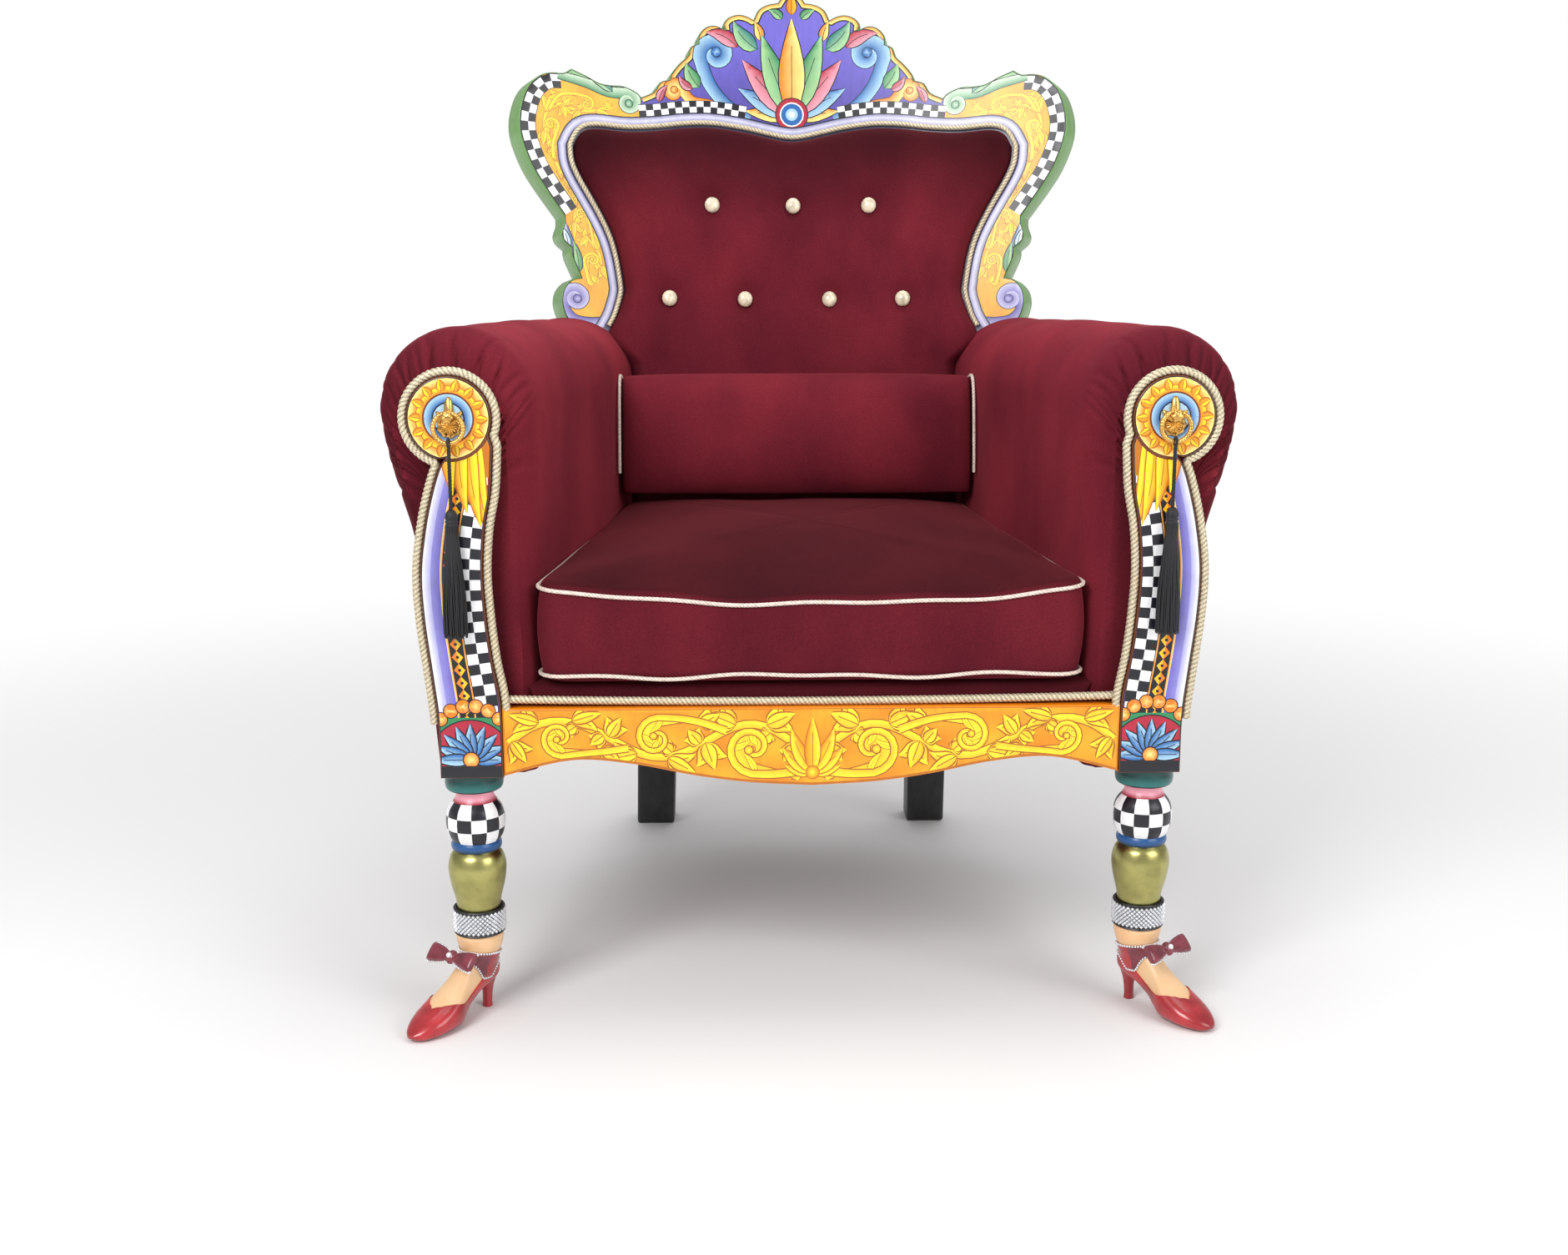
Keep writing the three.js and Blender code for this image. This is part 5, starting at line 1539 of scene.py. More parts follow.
def fill(piece, held, cap):
    """Swells a cushion by cloth simulation, with its seams held and its growth capped in millimetres."""
    start = read(piece.data)
    seams = piece.vertex_groups.new(name="seams")
    seams.add(np.flatnonzero(held(in_mm(start))).tolist(), 1.0, "REPLACE")
    cloth = piece.modifiers.new("filling", "CLOTH")
    for name, value in FILLING.items():
        setattr(cloth.settings, name, value)
    cloth.settings.uniform_pressure_force = sizes().pressure
    cloth.settings.vertex_group_mass = "seams"
    cloth.settings.effector_weights.gravity = 0.0
    cloth.point_cache.frame_start = 1
    cloth.point_cache.frame_end = FILL_STEPS
    for step in range(1, FILL_STEPS + 1):
        bpy.context.scene.frame_set(step)
    swollen = piece.evaluated_get(bpy.context.evaluated_depsgraph_get()).to_mesh()
    move = read(swollen) - start
    far = np.linalg.norm(move, axis=1)
    soft = cap * MM * np.tanh(far / (cap * MM))
    start = start + move * (soft / np.maximum(far, 1e-9))[:, None]
    piece.modifiers.remove(cloth)
    piece.vertex_groups.remove(seams)
    bpy.context.scene.frame_set(1)
    return start


def reshape(piece, points):
    """Puts new points in a piece's mesh and smooths it by one subdivision."""
    piece.data.vertices.foreach_set("co", np.ascontiguousarray(points).ravel())
    piece.data.update()
    smooth = piece.modifiers.new("smooth", "SUBSURF")
    smooth.levels = 1
    smooth.render_levels = 1


def piping(path, closed, name, node):
    """Thin twisted piping along a seam, as a piece."""
    rope(path, PIPING_D, PIPING_PITCH, 3, 8, closed, 0.14).piece(name, "piping", [node], 80)


def make_seat_cushion():
    """The loose seat cushion, full in the middle, with piping on both its seams."""
    rings = [seat_plan(g, seat_foot(0)) for g in (0.06, 0.25, 0.45, 0.65, 0.82, 0.93, 0.975)]
    rings.append(seat_plan(0.99, seat_foot(3)))
    edge = seat_plan(1.0, seat_top(-2))
    low = seat_plan(1.0, seat_foot(8))
    for share in np.linspace(0, 1, 11):
        ring = low + (edge - low) * share
        bulge = 5.0 * math.sin(math.pi * share)
        ring[:, :2] += (ring[:, :2] - (0, SEAT_MIDDLE)) * bulge / 300
        rings.append(ring)
    for g in (0.985, 0.965, 0.93, 0.89, 0.83, 0.76, 0.68, 0.59, 0.49, 0.38, 0.27, 0.16, 0.06):
        rings.append(seat_plan(g, seat_crown))
    piece = Stock().rings(rings).piece("seat_cushion_cover", "velvet", ["seat_cushion"], 180)

    def held(p):
        top = seat_top(0)(p[:, 0], p[:, 1])
        rim = np.abs(p[:, 2] - top) < 3.2
        inner = np.hypot(p[:, 0] / 300, (p[:, 1] - SEAT_MIDDLE) / 270)
        return (p[:, 2] < SEAT_FOOT_Z + 9) | (rim & (inner > 0.9))

    points = fill(piece, held, 22.0)
    x, y, z = in_mm(points).T
    worn = ripple((1.0, x / 47 + y / 83), (0.8, y / 39 + 1.2), (0.5, x / 23 - z / 31))
    points[:, 2] += worn * MM * smooth_step(SEAT_FOOT_Z + 60, SEAT_FOOT_Z + 110, z)
    reshape(piece, points)
    # Painted shade: the cushion's top, facing up, darker than its sides
    paint_velvet_shading(piece, lambda x, y, z, nx, ny, nz: 0.76 - 0.42 * smooth_step(0.3, 0.8, nz))

    def low_seam(x, y):
        return SEAT_FOOT_Z + 8 + 1.3 * seam_sway(x + 80, y)

    for word, height in (("top", seat_top(-6)), ("bottom", low_seam)):
        path = seat_plan(1.0, height, PIPING_OUT)
        piping(path, True, f"seat_{word}_seam_piping", f"seat_piping_{word}")


def lumbar_ring(x, share, angle):
    """A ring of the lumbar cushion before it leans, in the frame's directions."""
    y = LUMBAR_SIZE[0] / 2 * squared(np.cos(angle), 0.55) * share
    z = LUMBAR_SIZE[1] / 2 * squared(np.sin(angle), 0.55) * (0.9 + 0.1 * share)
    turned_y = y * math.cos(LUMBAR_LEAN) + z * math.sin(LUMBAR_LEAN)
    turned_z = z * math.cos(LUMBAR_LEAN) - y * math.sin(LUMBAR_LEAN)
    ring = (np.full(len(angle), float(x)), LUMBAR_PLACE[0] + turned_y, LUMBAR_PLACE[1] + turned_z)
    return np.stack(ring, 1)


def make_lumbar_cushion():
    """The lumbar cushion that leans on the inside back, with piping at its ends."""
    angle = turns(64) + 0.02
    stations = np.concatenate([[-1, -1, -1, -0.995], np.linspace(-0.985, 0.985, 62), [0.995, 1, 1, 1]])
    shares = np.interp(np.abs(stations), (0, 0.7, 0.96, 1), (1, 0.97, 0.86, 0.7))
    shares[:3] = (0.06, 0.3, 0.56)
    shares[-3:] = (0.56, 0.3, 0.06)
    rings = []
    for share, full in zip(stations, shares):
        ring = lumbar_ring(LUMBAR_HALF * share, max(full, LUMBAR_END), angle)
        if full < LUMBAR_END:
            ring = ring.mean(0) + (ring - ring.mean(0)) * full / LUMBAR_END
        rings.append(ring)
    piece = Stock().rings(rings).piece("lumbar_cushion_cover", "velvet", ["lumbar_cushion"], 180)
    x, y, z = in_mm(fill(piece, lambda p: np.abs(p[:, 0]) > LUMBAR_HALF * 0.985, 14.0)).T
    worn = ripple((1.1, x / 53 + z / 40), (0.8, z / 27 + 0.4), (0.6, x / 29))
    y = y + worn * smooth_step(LUMBAR_HALF, 200, np.abs(x))
    flat_z = PIVOT_Z + (z - PIVOT_Z) / math.cos(BACK_LEAN)
    y = np.minimum(y, back_face_y(np.abs(x), z, 0.0) - pad_depth(x, flat_z) - 9)
    z = np.maximum(z, seat_top(26.0)(x, np.clip(y, *SEAT_Y)))
    reshape(piece, np.stack([x, y + FRONT_Y / MM, z], 1) * MM)
    sweep = np.radians(np.linspace(202.8, 79.0, 40))
    for word, side in SIDES:
        path = lumbar_ring(side * (LUMBAR_HALF + PIPING_OUT), 0.84, sweep)
        piping(path, False, f"{word}_lumbar_seam_piping", f"{word}_lumbar_piping")


# Pulls and tassels

def make_tassels():
    """Tassels of black thread, each hung by a cord from its ring."""
    route = [(TASSEL_CORD_X, TASSEL_CORD_Y, z) for z in TASSEL_CORD_Z]
    profile, head = spline(TASSEL_BODY, 4), spline(TASSEL_HEAD, 4)
    count = sizes().strands
    squash = np.array([1.0, 0.75, 1.0])
    for word, side in SIDES:
        hang = np.array([side * PULL_X, RING_Y, 0.0])
        knob = Stock().rings(lathe(head, 24) * squash + hang)
        knob = knob.piece(f"{word}_tassel_head", "tassel", (), 60)
        stock = Stock()
        stock.rings(lathe(profile, 24) * squash * (0.86, 0.86, 1.0) + hang)
        for k in range(count):
            turn = 2 * math.pi * k / count
            t = np.linspace(0, 1, 9)
            wide = 6.3 + 6.2 * smooth_step(0, 0.8, t) + 0.5 * math.sin(k * 2.4)
            sway = turn + 0.07 * np.sin(t * 5 + k * 1.7)
            length = 123 + 2.4 * math.sin(k * 3.1)
            path = np.stack([wide * np.cos(sway), wide * np.sin(sway), 593 - length * t], 1) * squash + hang
            stock.rings(tube(path, 0.85, 5))
        stock.piece(f"{word}_tassel_threads", "tassel", [f"{word}_tassel"], 60)
        points = [(side * x, y, z) for x, y, z in route]
        cord = rope(in_mm(np.array(points)), TASSEL_CORD_D / MM, 4.0, 3, 10).piece(
            f"{word}_tassel_hanger", "tassel", [f"{word}_tassel_cord"], 80)
        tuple(points[0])
        loop = turns(32)
        path = np.stack([np.zeros(32), 5.0 * np.cos(loop), RING_Z - RING_R + 5.0 * np.sin(loop)], 1)
        rope(path + hang, 3.4, 3.6, 3, 10, True).piece(f"{word}_tassel_loop", "tassel", (), 80)


def make_pulls():
    """Cast brass pulls: a leafy plate, a flower on its post, and the ring."""
    turn = turns(96)
    up = np.degrees(np.angle(np.exp(1j * (turn - math.pi / 2))))
    reach = (13.2 + 0.8 * np.cos(turn * 9) + 18.5 * np.exp(-(up / 15) ** 2)
             + 8.0 * np.exp(-((np.abs(up) - 42) / 11) ** 2))
    share = np.array([0.02, 0.14, 0.28, 0.42, 0.56, 0.7, 0.82, 0.91, 0.97, 1.0])
    swell = 5.4 * np.sqrt(1 - (share * 0.985) ** 2)
    lobes = 1 + 0.16 * np.cos(turn * 9)[None, :] * np.sin(math.pi * share)[:, None]
    plate = np.stack([share[:, None] * reach * np.cos(turn), -0.8 - swell[:, None] * lobes,
                      share[:, None] * reach * np.sin(turn)], 2)
    foot = plate[-1:] * (1.0, 0.0, 1.0) - (0.0, 0.4, 0.0)
    flower = lathe(np.vstack([[(3.2, -1.0), (5.6, 0.0)], dome_profile(7.0, 4.2, 8)]), 60)
    petal = 1 + 0.13 * np.cos(turns(60) * 6)[None, :, None]
    flower = flower * np.concatenate([np.repeat(petal, 2, 2), np.ones_like(petal)], 2)
    ring_turn = turns(120)
    ring_path = np.stack([RING_R * np.sin(ring_turn), np.zeros(120), RING_R * np.cos(ring_turn)], 1)
    reeded = RING_WIRE * (1 + 0.1 * np.cos(ring_turn * 30))
    for word, side in SIDES:
        hang = np.array([side * PULL_X, 0.0, 0.0])
        stock = Stock()
        stock.rings(np.vstack([plate, foot]) + hang + (0.0, 0.0, PLATE_Z))
        post = lathe(((3.4, 0), (3.4, 6), (2.9, 9), (3.4, 11)), 24)
        stock.rings(post[:, :, [0, 2, 1]] * (1.0, -1.0, 1.0) + hang + (0.0, -4.0, SCROLL_Z))
        stock.rings(flower[:, :, [0, 2, 1]] * (1.0, -1.0, 1.0) + hang + (0.0, -14.2, 712.8))
        stock.piece(f"{word}_pull_rosette", "brass", [f"{word}_pull_plate"], 50)
        loop = Stock().rings(tube(ring_path, reeded, 16, True) + hang + (0.0, RING_Y, RING_Z), closed=True)
        loop.piece(f"{word}_pull_loop", "brass", [f"{word}_pull_ring"], 60)


# Legs and feet

def make_front_legs():
    """Turned front legs: a gilded vase, a blue ring, a checkered ball, a rose neck and a green collar."""
    c = colours()
    segments = 96
    seen = ((0, 7, 1), (6, 10, 0), (9, 14, 0), (13, 16, 0), (15, 20, 0))
    runs = [(spline(LEG_PROFILE[a:b], 8), which) for a, b, which in seen]
    runs[0] = (np.vstack([[(0.0005, 112)], runs[0][0]]), 1)
    runs[-1] = (np.vstack([runs[-1][0], [(0.0005, 299.5)]]), 0)

    def band(z, column):
        if z < 216:
            return mixed(c["blue"] * 0.15, c["blue"] * 0.62, smooth_step(203, 211, z))
        if z < 263:
            row = int((z - 216) / 15.7)
            return c["white"] if (row + column // 8) % 2 == 0 else c["black"]
        if z < 277.5:
            return mixed(c["crimson"] * 0.8, c["pink"], smooth_step(263, 269, z))
        if z < 280:
            return c["black"]
        return mixed(c["teal"] * 0.75, c["teal"] * 0.3, smooth_step(281, 292, z))

    for word, side in SIDES:
        stock = Stock()
        for profile, which in runs:
            middle = (profile[:-1, 1] + profile[1:, 1]) / 2
            paint = np.array([band(z, column) for z in middle for column in range(segments)])
            place = (side * LEG_PLACE[0], LEG_PLACE[1])
            stock.rings(lathe(profile, segments, place), which, paint, ends=False)
        stock.piece(f"{word}_turned_leg", "gilt_wood", [f"{word}_front_leg"], 45, ("painted_wood", "gilt"))


def bead(centre, radius, around=7, rows=4):
    """Rings of a small bead."""
    turn = np.linspace(-math.pi / 2, math.pi / 2, rows + 1)
    profile = np.stack([np.maximum(radius * np.cos(turn), 0.0005), radius * np.sin(turn)], 1)
    return lathe(profile, around) + np.asarray(centre, float)


def make_ankle_bands():
    """Bands of cut stones in rows round the ankles."""
    rows, count = sizes().stone_rows, sizes().stones
    pitch = 27.0 / (rows + 1)
    turn = np.arange(4) * math.pi / 2
    cut = np.stack([np.cos(turn) * math.pi * 30 / count, np.sin(turn) * pitch], 1)
    for word, side in SIDES:
        stock = Stock()
        centre = (side * LEG_PLACE[0], LEG_PLACE[1])
        # The band under the stones takes the near-black setting: painted shade between the stones
        stock.rings(lathe(BAND_PROFILE, 64, centre), 1, closed=True)
        for row in range(rows):
            for k in range(count):
                around = 2 * math.pi * (k + row % 2 / 2) / count
                out = np.array([math.cos(around), math.sin(around), 0.0])
                spread = np.stack([-cut[:, 0] * out[1], cut[:, 0] * out[0], cut[:, 1]], 1)
                place = np.array([*centre, 103.3 + pitch * (row + 1)])
                stock.rings([place + out * far + spread * size for size, far in STONE_LEVELS])
        stock.piece(f"{word}_stone_band", "stones", [f"{word}_ankle_band"], 15, ("stones", "setting"))


def foot_place(points, side):
    """Puts points drawn as (across, along, up) from the heel's tip into the throne's directions."""
    w, t, z = np.asarray(points, float).reshape(-1, 3).T
    x = HEEL_PLACE[0] - w * math.cos(FOOT_TURN) + t * math.sin(FOOT_TURN)
    y = HEEL_PLACE[1] - w * math.sin(FOOT_TURN) - t * math.cos(FOOT_TURN)
    return np.stack([side * x, y, np.maximum(z, 0.0)], 1).reshape(np.shape(points))


def foot_ring(station, angle, draw=0.0):
    """A section of the foot at a station of (along, bottom, top, half width), drawn in by a little."""
    t, low, high, half = station
    low, high, half = low + draw, high - draw, max(half - draw, 1.0)
    c, s = np.cos(angle), np.sin(angle)
    w = half * squared(c, 0.8)
    z = (low + high) / 2 + (high - low) / 2 * squared(s, np.where(s > 0, 1.0, SOLE_POWER))
    return np.stack([w, np.full(len(angle), t), z], 1)


def foot_skin():
    """The bare foot and ankle as one smooth skin, in the foot's own directions and in millimetres."""
    stock = Stock().rings([foot_ring(s, turns(40), 1.8) for s in spline(FOOT_STATIONS, 5)])
    axis = np.array([2.5, 10.5, 0.0])
    ankle = spline(np.array(ANKLE)[:, ::-1], 4)
    ankle = np.vstack([ankle, [(25.7, 100.6), (25.7, 111.4)]])
    stock.rings(lathe(ankle, 48) + axis)
    mesh = bpy.data.meshes.new("foot_form")
    mesh.from_pydata(np.vstack(stock.points).tolist(), [], stock.faces)
    form = bpy.data.objects.new("foot_form", mesh)
    bpy.context.scene.collection.objects.link(form)
    join = form.modifiers.new("join", "REMESH")
    join.mode = "VOXEL"
    join.voxel_size = 1.7
    ease = form.modifiers.new("ease", "SMOOTH")
    ease.factor = 0.5
    ease.iterations = 10
    made = form.evaluated_get(bpy.context.evaluated_depsgraph_get()).to_mesh()
    points = np.array([v.co[:] for v in made.vertices])
    faces = [tuple(p.vertices) for p in made.polygons]
    bpy.data.objects.remove(form)
    bpy.data.meshes.remove(mesh)
    return points, faces


def shoe_shell():
    """Rings of the shoe's upper round the foot, sunk under the skin where it opens over the instep."""
    line = np.array(SHOE_LINE)
    rings = []
    for station in spline(FOOT_STATIONS, 5):
        t, low, high = station[:3]
        height = np.interp(t, line[:, 0], line[:, 1])
        s = np.clip((2 * height - low - high) / (high - low), -0.9, 1.0)
        corner = math.asin(s) if s > 0 else -math.asin(abs(s) ** (1 / SOLE_POWER))
        upper = np.linspace(math.pi - corner, 2 * math.pi + corner, 57)
        sunk = np.linspace(2 * math.pi + corner, 3 * math.pi - corner, 17)
        rings.append(np.vstack([foot_ring(station, upper), foot_ring(station, sunk, 3.2 if s < 1 else 0.0)]))
    return np.array(rings)


def heel_rings():
    """Rings of the slender heel, from its tip up into the shoe."""
    c, s = squared(np.cos(turns(32)), 0.75), squared(np.sin(turns(32)), 0.75)
    return np.array([np.stack([half * c, (t0 + t1) / 2 + (t1 - t0) / 2 * s, np.full(32, z)], 1)
                     for t0, t1, half, z in spline(HEEL_LEVELS, 5)])


def strap_lines(skin, lifts, shares, steps=72):
    """Closed lines round the ankle on the skin, lifted off it, at shares of the strap's width up or down."""
    tree = BVHTree.FromPolygons([Vector(p) for p in skin[0]], skin[1])
    lean = math.radians(9.0)
    ahead = np.array([0.0, math.cos(lean), math.sin(lean)])
    rise = np.array([0.0, -math.sin(lean), math.cos(lean)])
    middle = np.array([1.5, 12.0, 70.0])
    lines = []
    for lift, share in zip(lifts, shares):
        line = []
        for turn in turns(steps):
            out = math.cos(turn) * np.array([1.0, 0.0, 0.0]) + math.sin(turn) * ahead
            flare = smooth_step(0.97, 0.35, math.sin(turn)) * smooth_step(-0.95, -0.3, math.sin(turn))
            wide = share * (7.0 if share > 0 else 7.0 + 18.0 * flare)
            hit = tree.ray_cast(Vector(middle + rise * wide + out * 90), Vector(-out))[0]
            if hit is None:
                raise RuntimeError("the strap misses the foot")
            line.append(np.array(hit) + out * lift)
        lines.append(line)
    return np.array(lines)


def make_feet():
    """Carved feet in pointed shoes, each with a strap edged in beads."""
    skin = foot_skin()
    shell = shoe_shell()
    heel = heel_rings()
    shares = np.array([-1.0, -0.96, -0.75, -0.5, -0.25, 0.0, 0.5, 0.92, 1.0, 0.92, 0.2, -0.5, -0.95])
    lifts = np.array([1.2, 2.3, 2.7, 2.7, 2.7, 2.7, 2.7, 2.3, 1.2, 0.2, 0.2, 0.2, 0.2])
    strap = np.roll(np.transpose(strap_lines(skin, lifts, shares), (1, 0, 2)), -2, 0)
    beads = [p for line in strap_lines(skin, (2.2, 2.2), (-1.0, 1.0))
             for p in even(np.vstack([line, line[:1]]), 3.3)[:-1]]
    for word, side in SIDES:
        stock = Stock()
        stock.add(foot_place(skin[0], side), skin[1], 0)
        stock.rings(foot_place(shell, side), 1)
        stock.rings(foot_place(heel, side), 1)
        for run, which in ((strap[:33], 2), (np.vstack([strap[32:], strap[:1]]), 1)):
            stock.rings(foot_place(run, side), which, ends=False)
        for spot in beads:
            stock.rings(foot_place(bead(spot, 1.5), side), 3, ends=False)
        stock.piece(f"{word}_shod_foot", "shoe", [f"{word}_foot"], 50, ("flesh", "shoe", "bow", "stones"))


def make_bows():
    """Ribbon bows on the straps, with a pearl and beaded edges."""
    spans = spline(BOW_SPANS, 5)
    angle = turns(36)
    tilt = math.radians(42.0)
    centre = np.array([0.0, 56.0, 81.0])

    def lean(points):
        points = np.asarray(points, float)
        y = points[..., 1] * math.cos(tilt) - points[..., 2] * math.sin(tilt)
        z = points[..., 1] * math.sin(tilt) + points[..., 2] * math.cos(tilt)
        return np.stack([points[..., 0], y, z], -1) + centre

    loops, edges = [], []
    for hand in (-1, 1):
        rings = []
        for w, tall, thick in spans:
            c, s = np.cos(angle), np.sin(angle)
            crease = 1 - 0.34 * np.exp(-(s / 0.3) ** 2) * smooth_step(30, 6, w)
            y = thick / 2 * squared(c, 0.7) * crease
            z = tall / 2 * squared(s, 0.8)
            rings.append(np.stack([np.full(36, hand * w), y, z], 1))
        loops.append(np.array(rings))
        line = even(spans, 3.4)
        edges += [(hand * w, -1.0, way * (tall / 2 + 0.4)) for w, tall, _ in line[1:] for way in (-1, 1)]
    turn = np.linspace(-math.pi / 2, math.pi / 2, 13)
    profile = np.stack([np.maximum(6.6 * np.cos(turn), 0.0005), 8.0 * np.sin(turn)], 1)
    knot = lathe(profile, 36) * (1 + 0.05 * np.cos(angle * 9))[None, :, None]
    tab_path = np.array(((0.0, 34.0, 73.0), (0.0, 44.0, 76.0), (0.0, 53.0, 79.5)))
    tab = tube(spline(tab_path, 4), 4.6, 20)
    for word, side in SIDES:
        stock = Stock()
        for rings in loops:
            stock.rings(foot_place(lean(rings), side), 0)
        stock.rings(foot_place(lean(knot), side), 0, ends=False)
        stock.rings(foot_place(tab, side), 0)
        for spot in edges:
            stock.rings(foot_place(lean(bead(spot, 1.4)), side), 1, ends=False)
        stock.rings(foot_place(lean(bead((0.0, 6.0, 0.0), 3.4, 20, 10)), side), 1, ends=False)
        stock.piece(f"{word}_shoe_bow", "bow", [f"{word}_bow"], 50, ("bow", "stones"))


def make_back_legs():
    """Plain black back legs, raked backwards, with softened corners."""
    angle = turns(48)
    square = np.stack([squared(np.cos(angle), 0.16), squared(np.sin(angle), 0.16)], 1) * BACK_LEG_HALF
    for word, side in SIDES:
        foot, head = (np.array(end) * (side, 1.0, 1.0) for end in (BACK_LEG_FOOT, BACK_LEG_HEAD))
        rings = []
        for share, draw in ((0.0, 0.94), (0.006, 0.985), (0.015, 1.0), (0.25, 1.0), (0.5, 1.0), (0.75, 1.0),
                            (1.0, 1.0)):
            middle = foot + (head - foot) * share
            rings.append(np.hstack([square * draw, np.zeros((48, 1))]) + middle)
        Stock().rings(rings).piece(f"{word}_raked_leg", "black_wood", [f"{word}_back_leg"], 30)


def make_board():
    """The bent and painted back board."""
    c = colours()
    guides = np.arange(-400, 401, 12.5)
    stock = painted_board(board_painting(), guides, BACK_T, on_back, c["edge"], c["black"], c["umber"] * 0.4)
    stock.piece("painted_back_board", "painted_wood", ["back_board"])


# Stage

def make_stage():
    """Camera at the photograph's place, soft studio lights and a pale floor."""
    scene = bpy.context.scene
    scene.view_settings.view_transform = "Standard"
    lens = bpy.data.cameras.new("camera")
    lens.sensor_width = 36.0
    lens.lens = CAMERA_LENS
    camera = bpy.data.objects.new("camera", lens)
    camera.location = CAMERA_PLACE
    camera.rotation_euler = CAMERA_TURN
    scene.collection.objects.link(camera)
    scene.camera = camera
    world = bpy.data.worlds.new("studio")
    world.use_nodes = True
    tree = world.node_tree
    glow = tree.nodes["Background"]
    glow.inputs["Color"].default_value = (1.0, 1.0, 1.0, 1.0)
    glow.inputs["Strength"].default_value = GLOW
    backdrop = tree.nodes.new("ShaderNodeBackground")
    backdrop.inputs["Color"].default_value = (1.0, 1.0, 1.0, 1.0)
    seen = tree.nodes.new("ShaderNodeMixShader")
    tree.links.new(tree.nodes.new("ShaderNodeLightPath").outputs["Is Camera Ray"], seen.inputs[0])
    tree.links.new(glow.outputs[0], seen.inputs[1])
    tree.links.new(backdrop.outputs[0], seen.inputs[2])
    tree.links.new(seen.outputs[0], tree.nodes["World Output"].inputs["Surface"])
    scene.world = world
    for name, place, power, size in LAMPS:
        lamp = bpy.data.lights.new(name, "AREA")
        lamp.energy = power
        lamp.size = size
        light = bpy.data.objects.new(name, lamp)
        light.location = place
        aim = Vector(LAMP_AIM) - Vector(place)
        light.rotation_euler = aim.to_track_quat("-Z", "Y").to_euler()
        scene.collection.objects.link(light)
    mesh = bpy.data.meshes.new("floor")
    corners = [(x * FLOOR_REACH, y * FLOOR_REACH, 0) for x, y in ((-1, -1), (1, -1), (1, 1), (-1, 1))]
    mesh.from_pydata(corners, [], [(0, 1, 2, 3)])
    mesh.materials.append(floor_finish())
    floor = bpy.data.objects.new("floor", mesh)
    floor.location.z = -0.0005
    scene.collection.objects.link(floor)
    floor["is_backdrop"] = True


# Operators

class ThroneStage(bpy.types.Operator):
    """Set the camera, the lights and the floor"""

    bl_idname = "throne.stage"
    bl_label = "Stage"

    def execute(self, context):
        make_stage()
        return {"FINISHED"}


class ThroneTassels(bpy.types.Operator):
    """Hang the black tassels on their cords"""

    bl_idname = "throne.tassels"
    bl_label = "Tassels"

    def execute(self, context):
        make_tassels()
        return {"FINISHED"}


class ThroneBoard(bpy.types.Operator):
    """Make the painted back board"""

    bl_idname = "throne.board"
    bl_label = "Back board"

    def execute(self, context):
        make_board()
        return {"FINISHED"}


class ThroneBack(bpy.types.Operator):
    """Upholster the inside and outside back"""

    bl_idname = "throne.back"
    bl_label = "Back upholstery"

    def execute(self, context):
        make_back_pad()
        make_buttons()
        make_back_braid()
        make_outside_back()
        return {"FINISHED"}


class ThroneArms(bpy.types.Operator):
    """Cover the rolled arms"""

    bl_idname = "throne.arms"
    bl_label = "Arms"

    def execute(self, context):
        make_arms()
        return {"FINISHED"}


class ThroneArmFronts(bpy.types.Operator):
    """Paint the arm fronts and edge them with cord"""

    bl_idname = "throne.arm_fronts"
    bl_label = "Arm fronts"

    def execute(self, context):
        make_arm_fronts()
        return {"FINISHED"}


class ThroneApron(bpy.types.Operator):
    """Paint the apron and cover the deck"""

    bl_idname = "throne.apron"
    bl_label = "Apron and deck"

    def execute(self, context):
        make_apron()
        make_deck()
        return {"FINISHED"}


class ThroneCushions(bpy.types.Operator):
    """Fill the seat cushion and the lumbar cushion"""

    bl_idname = "throne.cushions"
    bl_label = "Cushions"

    def execute(self, context):
        make_seat_cushion()
        make_lumbar_cushion()
        return {"FINISHED"}


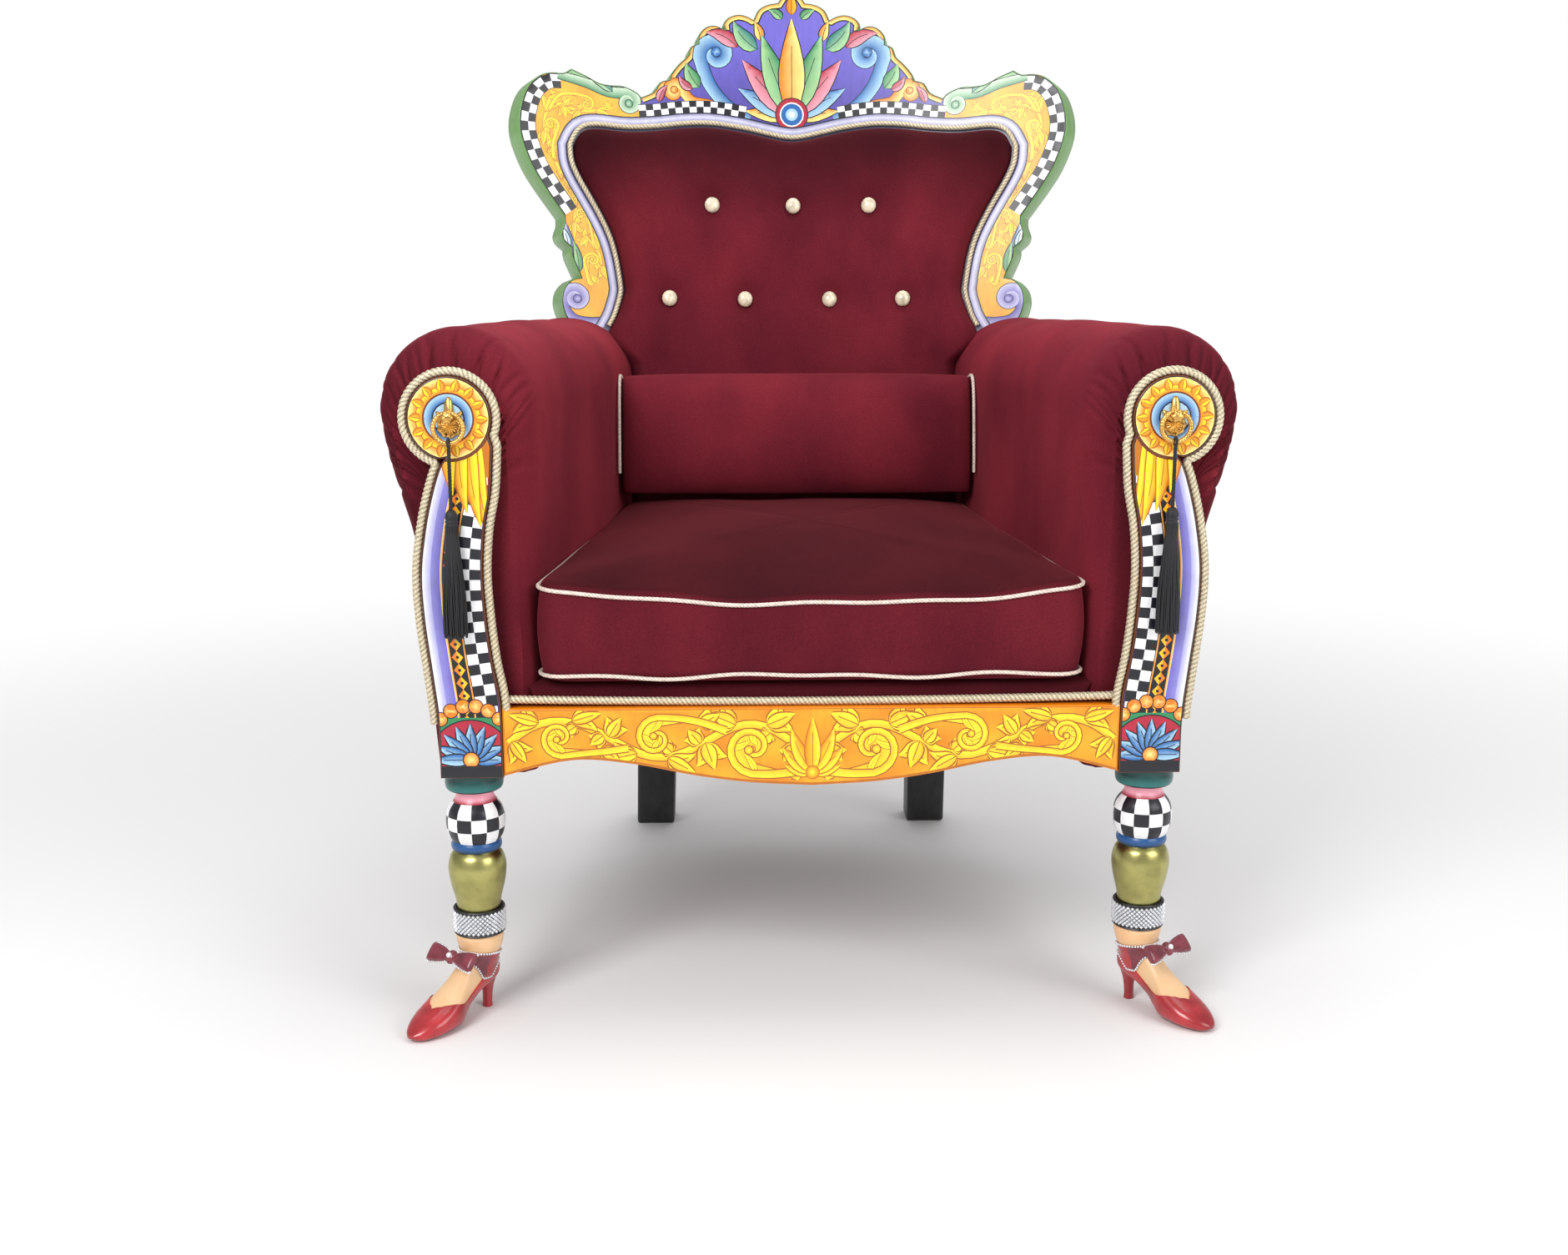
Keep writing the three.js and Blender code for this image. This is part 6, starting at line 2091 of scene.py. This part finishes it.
class ThronePulls(bpy.types.Operator):
    """Cast the brass ring pulls"""

    bl_idname = "throne.pulls"
    bl_label = "Ring pulls"

    def execute(self, context):
        make_pulls()
        return {"FINISHED"}


class ThroneLegs(bpy.types.Operator):
    """Turn and paint the legs and set the ankle bands"""

    bl_idname = "throne.legs"
    bl_label = "Legs"

    def execute(self, context):
        make_front_legs()
        make_ankle_bands()
        make_back_legs()
        return {"FINISHED"}


class ThroneFeet(bpy.types.Operator):
    """Carve the feet, their shoes and bows"""

    bl_idname = "throne.feet"
    bl_label = "Feet and shoes"

    def execute(self, context):
        make_feet()
        make_bows()
        return {"FINISHED"}


OPERATORS = (ThroneStage, ThroneTassels, ThroneBoard, ThroneBack, ThroneArms, ThroneArmFronts, ThroneApron,
             ThroneCushions, ThronePulls, ThroneLegs, ThroneFeet)


class ThronePanel(bpy.types.Panel):
    """Lists the throne's pieces, colours and sizes in the sidebar"""

    bl_idname = "VIEW3D_PT_throne"
    bl_label = "Painted Throne"
    bl_space_type = "VIEW_3D"
    bl_region_type = "UI"
    bl_category = "Throne"

    def draw(self, context):
        for operator in OPERATORS:
            self.layout.operator(operator.bl_idname)
        for group in (context.scene.throne_colours, context.scene.throne_sizes):
            for name in type(group).__annotations__:
                self.layout.prop(group, name)


CLASSES = (ThroneColours, ThroneSizes, *OPERATORS, ThronePanel)


def register():
    """Registers the add-on's classes and properties."""
    for owner in CLASSES:
        bpy.utils.register_class(owner)
    bpy.types.Scene.throne_colours = PointerProperty(type=ThroneColours)
    bpy.types.Scene.throne_sizes = PointerProperty(type=ThroneSizes)


def unregister():
    """Removes the add-on's classes and properties."""
    del bpy.types.Scene.throne_sizes
    del bpy.types.Scene.throne_colours
    for owner in reversed(CLASSES):
        bpy.utils.unregister_class(owner)


def main():
    """Makes every piece and works out the CAD model's box and the visual model's."""
    register()
    for operator in OPERATORS:
        group, name = operator.bl_idname.split(".")
        getattr(getattr(bpy.ops, group), name)()
    boxes = {"cad": CAD_BOX, "visual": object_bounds()}
    {key: [[float(v) for v in corner] for corner in box] for key, box in boxes.items()}


if __name__ == "__main__":
    main()
